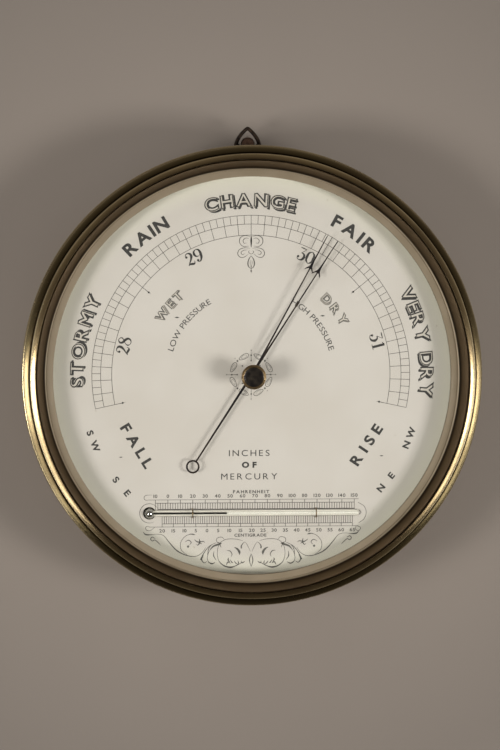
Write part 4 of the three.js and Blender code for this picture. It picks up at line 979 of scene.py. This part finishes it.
def makeOrnament():
    o = ornament
    sheet, quarter = newSheet(), newSheet()
    for points, widths in o["scrolls"]:
        mirroredStroke(sheet, points, [width * o["scrollWeight"] for width in widths])
    for points, widths in o["fleuron"]:
        mirroredStroke(sheet, points, widths)
    stroke(sheet, *o["stem"])
    for dot in o["dots"]:
        blot(sheet, *dot)
    for side in (-1, 1):  # one leaf each side of a cross tick, turned four times
        angle = o["leafAngle"] * side
        centre, out = Vector(polar(angle, o["rosetteRadius"])), Vector(polar(angle, 1))
        along = (Vector(polar(angle + 90, 1)) + out * o["leafLean"] * -side).normalized() * o["leafHalfLength"]
        out = Vector((-along.y, along.x)).normalized() * o["leafHalfWidth"]
        for share, line in o["leafLines"]:
            turns = [2 * math.pi * i / o["leafSteps"] for i in range(o["leafSteps"])]
            leaf = [along * math.cos(t) + out * math.sin(t) * (0.8 + 0.2 * math.cos(t)) for t in turns]
            stroke(quarter, [tuple(centre + place * share) for place in leaf], line, closed=True)
    stroke(quarter, *o["tick"])
    for degrees, radius, size in o["rosetteDots"]:
        blot(quarter, *polar(degrees, radius), size)
    rosette = repeated(turnedCopies, sheetMesh(quarter), "faintInk", 4, 0, 90)
    addPrint("dial_ornament", joined([sheetMesh(sheet), rosette]), "faintInk")


# Scales on both sides of the thermometer

thermometerScale = {
    "line": 0.3, "frame": 0.24, "tubeEdges": ((-69.45, 0.5), (-73.0, 0.34)), "tubeFrom": -48.4, "tubeTo": 53.6,
    "rows": [
        {"first": -49.43, "step": 1.285, "count": 81, "from": -69.65, "to": -66.2, "long": -64.4,
         "rule": -64.5, "every": 5, "values": range(-10, 151, 10), "labels": -62.6},
        {"first": -45.98, "step": 1.1576, "count": 86, "from": -73.0, "to": -76.9, "long": -78.7,
         "rule": -78.5, "every": 5, "values": range(-20, 66, 5), "labels": -80.5}],
    "labelHeight": 1.75, "left": -52.8, "right": 55.6, "bulbRing": 5.0,
    "curls": [
        ([(53.7, -69.9), (55.8, -70.4), (56.9, -71.4), (55.8, -72.5), (53.4, -73.0)], 0.3),
        ([(55.4, -66.4), (58.4, -68.3), (59.6, -71.5), (58.4, -75.0), (55.7, -76.9)], 0.26),
        ([(-52.8, -64.5), (-54.6, -64.5), (-55.3, -63.3), (-54.2, -62.1), (-51.1, -61.9)],
         [0.2, 0.3, 0.3, 0.25, 0.1]),
        ([(-49.8, -78.5), (-52.0, -80.3), (-54.1, -80.0), (-54.3, -78.4), (-52.3, -78.1)],
         [0.2, 0.25, 0.3, 0.3, 0.1]),
        ([(54.6, -78.5), (56.7, -79.4), (55.6, -81.1), (53.9, -80.0), (54.6, -78.5)], [0.2, 0.3, 0.25, 0.3, 0.2])],
    "names": [("FAHRENHEIT", 0.0, -60.5, 1.7, 18.8, 0.0, "bold"),
              ("CENTIGRADE", -0.4, -83.0, 1.6, 16.6, 0.0, "bold")],
}


def makeThermometerScale():
    s = thermometerScale
    sheet, marks = newSheet(), []
    for row in s["rows"]:
        first, step = row["first"], row["step"]
        for start, end, pitch, count in ((row["from"], row["to"], step, row["count"]),
                                         (row["to"], row["long"], step * row["every"], len(row["values"]))):
            marks.append(repeated(rowOfCopies, barMesh(start, end, s["line"]), "faintInk", count, first, pitch))
        stroke(sheet, [(s["left"], row["rule"]), (s["right"], row["rule"])], s["frame"])
        stroke(sheet, [(first, row["to"]), (first + step * (row["count"] - 1), row["to"])], s["line"])
        for i, value in enumerate(row["values"]):
            x = first + i * step * row["every"]
            straightWord(sheet, str(abs(value)), x, row["labels"], s["labelHeight"], None, 0.0, "firm")
    for z, width in s["tubeEdges"]:
        stroke(sheet, [(s["tubeFrom"], z), (s["tubeTo"], z)], width)
    for points, widths in s["curls"]:
        stroke(sheet, smoothPath(points), widths)
    stroke(sheet, ringPoints(*dialPlate["bulb"], s["bulbRing"], 40)[3:34], [0.1, 0.3, 0.3, 0.3, 0.1])
    for word in s["names"]:
        straightWord(sheet, *word)
    addPrint("thermometer_scale", joined([sheetMesh(sheet), *marks]), "faintInk")


# Hands, knob and what carries them

handShape = {
    "hub": 3.0, "hubSteps": 40, "tip": 82.0, "bevel": 0.06,
    "right": [(0.52, 3.2), (0.42, 12.0), (0.3, 35.0), (0.25, 61.4), (0.36, 62.5), (0.95, 62.2), (1.65, 61.5),
              (2.3, 60.7), (2.05, 61.6), (1.4, 62.6), (0.8, 63.5), (0.58, 64.3), (0.45, 65.6), (0.32, 67.4),
              (0.27, 70.0), (0.21, 76.0), (0.13, 81.0)],
    "tailReach": 56.0, "tailRing": 3.45, "tailWire": 0.8, "ringGap": 7, "stemFeet": (0.05, 1.5), "stemEnd": 0.36,
    "stemRoot": (0.55, -8.0), "stemGap": 14, "stemSideSteps": 16,
    # the hole, the back, the front and the angle at rest
    "pressure": (1.3, 51.4, 51.9, 32.8), "set": (1.9, 53.6, 54.1, 28.5),
}


def handLoops(hole, tailed):
    h = handShape
    right, radius = h["right"], h["hub"]
    left = [(-x, z) for x, z in reversed(right)]
    opened = math.degrees(math.acos(right[0][0] / radius))
    if not tailed:
        hub = arcPoints(0, 0, radius, radius, 180 - opened, 360 + opened, h["hubSteps"])
    else:
        foot = -(h["tailReach"] - h["tailRing"])
        stem = [(h["stemEnd"], foot + rise) for rise in h["stemFeet"]] + [h["stemRoot"]]
        gap, ring, steps = h["stemGap"], h["tailRing"], h["stemSideSteps"]
        hub = (arcPoints(0, 0, radius, radius, 180 - opened, 270 - gap, steps)
               + [(-x, z) for x, z in reversed(stem)]
               + arcPoints(0, -h["tailReach"], ring, ring, 90 + h["ringGap"], 450 - h["ringGap"], holeSteps)
               + stem + arcPoints(0, 0, radius, radius, 270 + gap, 360 + opened, steps))
    loops = [right + [(0, h["tip"])] + left + hub[1:-1], ringPoints(0, 0, hole, h["hubSteps"])]
    if tailed:
        loops.append(ringPoints(0, -h["tailReach"], h["tailRing"] - h["tailWire"], holeSteps))
    return loops


def makeHands():
    for name in ("pressure", "set"):
        hole, back, front, turn = handShape[name]
        hand = flatMesh(handLoops(hole, name == "pressure"), back, front, handShape["bevel"], turn)
        addPiece(name + "_hand_blued", hand, "blackened", name + "_hand_body", "blackened_steel", name + "_hand",
                 sharp=flatSharp)


knobShape = {
    "radius": 6.3, "rim": 1.25, "dishDepth": 0.6, "foot": 5.0, "footHeight": 1.2, "back": 61.5, "front": 69.5,
    "bore": 1.9, "boreEnd": 64.7, "round": 0.12, "steps": 96,
    "waist": (0.4, 3.4, 1.3, 2.1), "waistTurn": (250, 120, 8),  # an arc outside the foot and in front of the back
    # the side and the rim, as distances in from the radius and back from the front; then the same from the dish
    "side": [(0.3, 2.6), (0, 2.2), (0, 0.6), (0.32, 0.2), (0.52, 0.45), (0.72, 0)],
    "lip": [(-0.22, 0.06), (0.1, 0.4)], "floor": [(0.8, 0.08), (0.4, 0), (0, 0)],
    "dishFrom": (0.75, 0.02),  # how far behind the front and inside the lip the dark finish of the dish starts; that dark finish is a painted reflection of a dark room
    "washer": [(1.9, 60.6), (4.6, 60.6), (4.6, 61.3), (1.9, 61.3)], "washerRound": 0.15, "washerSteps": 72,
}


def makeKnob():
    k = knobShape
    radius, front, foot, back = k["radius"], k["front"], k["foot"], k["back"]
    dish, floor = radius - k["rim"], front - k["dishDepth"]
    waistX, waistD, *waistSize = k["waist"]
    outline = [
        (0, k["boreEnd"]), (k["bore"], k["boreEnd"]), (k["bore"], back), (foot, back), (foot, back + k["footHeight"]),
        *arcPoints(foot + waistX, back + waistD, *waistSize, *k["waistTurn"]),
        *((radius - x, front - d) for x, d in k["side"]), *((dish - x, front - d) for x, d in k["lip"]),
        *((dish * share, floor + d) for share, d in k["floor"]),
    ]
    depth, inset = k["dishFrom"]

    def inDish(place):
        return -place.y > (front - depth) * mm and math.hypot(place.x, place.z) < (dish - inset) * mm

    knob = turnedMesh(roundedOutline(outline, k["round"]), k["steps"])
    addPiece("knob_turned", knob, "knob", "set_hand_body", "bright_brass", "set_hand_knob", sharp=40,
             second=("dish", inDish))
    washer = turnedMesh(roundedOutline(k["washer"], k["washerRound"], 2), k["washerSteps"])
    addPiece("knob_washer_turned", washer, "case", "root", "case_brass", "knob_washer")


# Thermometer: glass, mercury and staples

tubeShape = {"bulbX": -52.55, "endX": 55.55, "z": -71.4, "d": 49.5, "tube": 1.5, "bore": 0.6, "bulb": 2.6,
             "wall": 0.3, "thread": 0.4, "threadLength": 39.9, "threadStarts": 2.6,
             "bulbSteps": 20, "endRound": 0.3, "mercuryGap": 0.05, "steps": 32,
             "staples": {"left": -30.35, "right": 33.45}, "wire": 0.3, "wireGap": 0.3, "legSpread": 2.3,
             "legFoot": 0.2, "legKnee": (0.15, 0.9), "archSteps": 14}


def bulbOutline(radius, stem, steps):
    meet = math.degrees(math.asin(stem / radius))
    return [(max(x, 0), y) for x, y in arcPoints(0, 0, radius, radius, -90, 90 - meet, steps)]


def makeThermometer():
    t = tubeShape
    length, tube = t["endX"] - t["bulbX"], t["tube"]
    place = (Matrix.Translation((t["bulbX"] * mm, -t["d"] * mm, t["z"] * mm))
             @ Matrix.Rotation(math.radians(90), 4, "Z"))
    cavity = t["bulb"] - t["wall"]
    end, steps = t["endRound"], t["bulbSteps"]
    outer = bulbOutline(t["bulb"], tube, steps) + [(tube, length - end), (tube - end, length)]
    inner = [(t["bore"], length)] + list(reversed(bulbOutline(cavity, t["bore"], steps)))
    addPiece("thermometer_glass", turnedMesh(outer + inner, t["steps"], place), "tubeGlass", "root", "glass",
             "thermometer_tube")
    mercury = (bulbOutline(cavity - t["mercuryGap"], t["thread"], steps)
               + [(t["thread"], t["threadLength"]), (0, t["threadLength"])])
    # the thread's faces take the near-black finish, a painted reflection of dark surroundings
    addPiece("thermometer_mercury_fill", turnedMesh(mercury, t["steps"], place), "mercury", "root", "mercury",
             "thermometer_mercury",
             second=("thread", lambda centre: centre.x > (t["bulbX"] + t["threadStarts"]) * mm))
    arch = tube + t["wireGap"] + t["wire"]
    knee, rise = t["legKnee"]
    leg = [(t["legSpread"], dialFace + t["legFoot"]), (arch + knee, dialFace + rise)]
    route = leg + arcPoints(0, t["d"], arch, arch, 0, 180, t["archSteps"]) + [(-z, d) for z, d in reversed(leg)]
    for side, x in t["staples"].items():
        curve = polyCurve("3D", [[(x * mm, -d * mm, (z + t["z"]) * mm) for z, d in route]], False)
        curve.bevel_depth = t["wire"] * mm
        curve.bevel_resolution = 3
        curve.use_fill_caps = True
        build = bmesh.new()
        build.from_mesh(meshOf(linked("wire", curve)))
        addPiece("staple_" + side, cleaned(build), "case", "root", "case_brass", "thermometer_staple_" + side,
                 sharp=60)


# Hanging bow on its domed stud

bowShape = {
    "d": 20.0, "pinZ": 115.7, "footZ": 109.2, "wire": 1.15, "taper": (0.8, 0.2), "height": 10.6, "wireSteps": 16,
    "side": [(-5.4, 0.0), (-6.0, 1.7), (-5.6, 3.8), (-4.5, 6.0), (-2.8, 8.2), (-0.9, 10.1)],
    "eyeSpread": 5.4, "eye": [(1.4, -1.15), (2.7, -1.15), (2.7, 1.15), (1.4, 1.15)], "eyeRound": 0.5, "eyeSteps": 40,
    "stud": [(0, -4.5), (2.0, -4.5), (2.0, 0), (5.5, 0), (5.5, 0.8), (3.7, 1.6)],
    "dome": (3.7, 9.0), "domeSteps": 14, "studRound": 0.3, "studSteps": 64,
}


def makeBow():
    p = bowShape
    steps = p["wireSteps"]
    thin, more = p["taper"]
    path = smoothPath(p["side"] + [(0.0, p["height"])] + [(-x, z) for x, z in reversed(p["side"])])
    build = bmesh.new()
    rings = []
    for i, (x, z) in enumerate(path):
        along = (Vector(path[min(i + 1, len(path) - 1)]) - Vector(path[max(i - 1, 0)])).normalized()
        share = abs(i / (len(path) - 1) - 0.5) * 2
        radius = p["wire"] * (thin + more * share ** 2)
        rings.append([build.verts.new(((x - along.y * radius * math.cos(a)) * mm,
                                       -(p["d"] + radius * math.sin(a)) * mm,
                                       (p["pinZ"] + z + along.x * radius * math.cos(a)) * mm))
                      for a in (2 * math.pi * k / steps for k in range(steps))])
    for near, far in zip(rings, rings[1:]):
        for k in range(steps):
            build.faces.new((near[k], near[(k + 1) % steps], far[(k + 1) % steps], far[k]))
    build.faces.new(rings[0])
    build.faces.new(rings[-1])
    shapes = [cleaned(build)]
    turn = Matrix.Rotation(math.radians(90), 4, "Z")
    for middle in (-p["eyeSpread"], p["eyeSpread"]):
        place = Matrix.Translation((middle * mm, -p["d"] * mm, p["pinZ"] * mm)) @ turn
        shapes.append(turnedMesh(roundedOutline(p["eye"], p["eyeRound"], 4), p["eyeSteps"], place))
    addPiece("hanging_bow_forged", joined(shapes), "bow", "bow_body", "blackened_steel", "hanging_bow", sharp=50)
    stand = Matrix.Translation((0, -p["d"] * mm, p["footZ"] * mm)) @ Matrix.Rotation(math.radians(90), 4, "X")
    radius, neck = p["dome"]
    outline = p["stud"] + arcPoints(0, neck, radius, radius, 0, 90, p["domeSteps"])[:-1] + [(0, neck + radius)]
    outline = [(r, -height) for r, height in roundedOutline(outline, p["studRound"], 2)]
    stud = turnedMesh(outline, p["studSteps"], stand)
    addPiece("pendant_stud_turned", stud, "stud", "root", "case_brass", "pendant_stud", sharp=40)


# Finishes for the pieces of the movement, which stay as the solid model has them

movementFinishes = {
    "movement_base_plate": "brightBrass", "movement_spacer": "brightBrass", "regulating_screw": "brightBrass",
    "capsule_lower_shell": "nickel", "capsule_upper_shell": "nickel", "capsule_post": "brightBrass",
    "knife_edge_pin": "steel", "mainspring": "steel", "spring_bridge": "case", "main_lever": "brightBrass",
    "lever_screw": "steel", "link_rod": "steel", "rocking_shaft_post": "brightBrass", "rocking_shaft": "steel",
    "chain": "steel", "pressure_arbor": "steel", "arbor_": "brightBrass", "hairspring_stud": "brightBrass",
    "hairspring": "steel", "hand_collet": "brightBrass", "set_hand_spindle": "brightBrass",
    "spindle_nut": "brightBrass", "dial_ledge": "case", "bow_pin": "stud",
}


def finishMovement():
    count = 0
    for node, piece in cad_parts.items():
        start = next((key for key in movementFinishes if node.startswith(key)), None)
        if start:
            piece.material_slots[0].material = finishes[movementFinishes[start]]
            count += 1
    print("movement finished:", count, "pieces")


makeCase()
print("case made")
makeFront()
print("bezel, glass and rings made")
makeDialPlate()
makePressureScale()
print("pressure scale printed")
makeOrnament()
makeThermometerScale()
print("ornament and thermometer scale printed")
makeHands()
makeKnob()
print("hands and knob made")
makeThermometer()
makeBow()
print("thermometer and bow made")
finishMovement()


# Stage, lamps and camera

stage = {
    "wall": (0.228, 0.197, 0.171), "mottle": (0.212, 0.182, 0.158), "wallSize": 5.0, "gap": 0.0004,
    # the wall is painted darker away from the object, a painted fall-off of light
    "roughness": 0.85, "mottles": 7, "mottleRange": (0.3, 0.7), "paintedFalloffStarts": 0.13, "paintedFalloffEnds": 0.23, "paintedFalloffTo": 0.74,
    "backReach": 0.012,
    "floor": (0.60, 0.58, 0.55), "floorMottle": (0.576, 0.5568, 0.528), "floorDrop": 1.4, "floorBack": 0.9,
    "ambient": 0.5, "ambientColour": (1.0, 0.97, 0.93),
    "roomAbove": (0.22, 0.19, 0.16), "roomBelow": (0.10, 0.085, 0.068),
}
# softboxes at both sides: where they stand, their power in watts, their width and their height; the low ones are
# panels that polished metal mirrors, too weak to light the wall
lamps = {
    "left": {"place": (-1.06, -1.42, -0.19), "power": 15.6, "size": (0.5, 0.36)},
    "right": {"place": (1.06, -1.42, -0.22), "power": 15.6, "size": (0.5, 0.34)},
    "leftLow": {"place": (-1.02, -1.36, -0.65), "power": 6.5, "size": (0.5, 0.6), "onlyInGloss": True},
    "rightLow": {"place": (1.02, -1.36, -0.56), "power": 5.0, "size": (0.5, 0.4), "onlyInGloss": True},
    "back": {"place": (0.7, 1.4, 0.7), "power": 9, "size": (0.6, 0.6)},
}
lampColour = (1.0, 0.965, 0.92)
lampAim = (0, -0.05, 0)
view = {"lens": 200, "azimuth": -3.8, "elevation": 3.7, "distance": 2.145, "aim": (-0.0006, -0.0478, -0.0002)}


def stagePlane(name, corners, colour, mottle, isWall):
    s = stage
    mesh = bpy.data.meshes.new(name)
    mesh.from_pydata(corners, [], [(0, 1, 2, 3)])
    material, tree, shader = newMaterial(name + "Paint", s["roughness"])
    paint = rampOf(tree, noiseOf(tree, s["mottles"], 4), list(zip(s["mottleRange"], (mottle, colour))))
    if isWall:  # painted shade: darker away from the object, standing in for light that falls off
        dim = rangeOf(tree, radiusOf(tree), s["paintedFalloffStarts"], s["paintedFalloffEnds"])
        paint = mixOf(tree, dim, paint, tuple(s["paintedFalloffTo"] * c for c in colour) + (1,))
    feed(tree, shader, {"Base Color": paint})
    behind = addNode(tree, "ShaderNodeNewGeometry").outputs["Backfacing"]
    path = addNode(tree, "ShaderNodeLightPath").outputs
    clear = addNode(tree, "ShaderNodeBsdfTransparent").outputs[0]
    # the wall is clear from behind and lets light reach the back that lies on it; no metal mirrors the floor
    near = mathOf(tree, "LESS_THAN", path["Ray Length"], s["backReach"])
    away = mathOf(tree, "MULTIPLY", near, mathOf(tree, "SUBTRACT", 1.0, path["Is Camera Ray"]))
    hidden = mathOf(tree, "MAXIMUM", behind, away if isWall else path["Is Glossy Ray"])
    feed(tree, tree.nodes["Material Output"], {"Surface": mixShaders(tree, hidden, shader.outputs[0], clear)})
    mesh.materials.append(material)
    plane = linked(name, mesh)


def makeStage():
    s = stage
    half, y, low = s["wallSize"] / 2, s["gap"], -s["floorDrop"]
    stagePlane("wall", [(-half, y, low), (half, y, low), (half, y, half), (-half, y, half)],
               s["wall"], s["mottle"], True)
    front, back = -2 * half, s["floorBack"]
    stagePlane("floor", [(-half, front, low), (half, front, low), (half, back, low), (-half, back, low)],
               s["floor"], s["floorMottle"], False)
    world = bpy.data.worlds.new("room")
    bpy.context.scene.world = world
    world.use_nodes = True
    tree = world.node_tree
    ambient = feed(tree, tree.nodes["Background"],
                   {"Color": (*s["ambientColour"], 1), "Strength": s["ambient"]}).outputs[0]
    way = addNode(tree, "ShaderNodeTexCoord").outputs["Generated"]
    height = addNode(tree, "ShaderNodeSeparateXYZ", {0: way}).outputs[2]
    # what polished metal shows: a dark floor below a lighter room
    room = rampOf(tree, rangeOf(tree, height, -0.8, 0.8), [(0.1, s["roomBelow"]), (0.9, s["roomAbove"])])
    seen = addNode(tree, "ShaderNodeBackground", {"Color": room}).outputs[0]
    path = addNode(tree, "ShaderNodeLightPath").outputs
    either = mathOf(tree, "MAXIMUM", path["Is Camera Ray"], path["Is Glossy Ray"])
    either = mathOf(tree, "MAXIMUM", either, path["Is Transmission Ray"])
    feed(tree, tree.nodes["World Output"], {"Surface": mixShaders(tree, either, ambient, seen)})


def makeLamps():
    for name, lamp in lamps.items():
        light = bpy.data.lights.new(name + "Lamp", "AREA")
        light.energy = lamp["power"]
        light.shape = "RECTANGLE"
        light.size, light.size_y = lamp["size"]
        light.color = lampColour
        holder = linked(name + "Lamp", light)
        holder.location = lamp["place"]
        holder.visible_diffuse = not lamp.get("onlyInGloss", False)
        holder.rotation_euler = (Vector(lampAim) - holder.location).to_track_quat("-Z", "Y").to_euler()


def makeCamera():
    v = view
    back = Matrix.Rotation(math.radians(v["azimuth"]), 4, "Z") @ Vector(
        (0, -math.cos(math.radians(v["elevation"])), math.sin(math.radians(v["elevation"]))))
    data = bpy.data.cameras.new("camera")
    data.lens = v["lens"]
    camera = linked("camera", data)
    camera.location = Vector(v["aim"]) + back * v["distance"]
    camera.rotation_euler = (-back).to_track_quat("-Z", "Y").to_euler()
    bpy.context.scene.camera = camera


makeStage()
makeLamps()
makeCamera()
bpy.context.scene.view_settings.view_transform = "Standard"
print("stage, lamps and camera made")
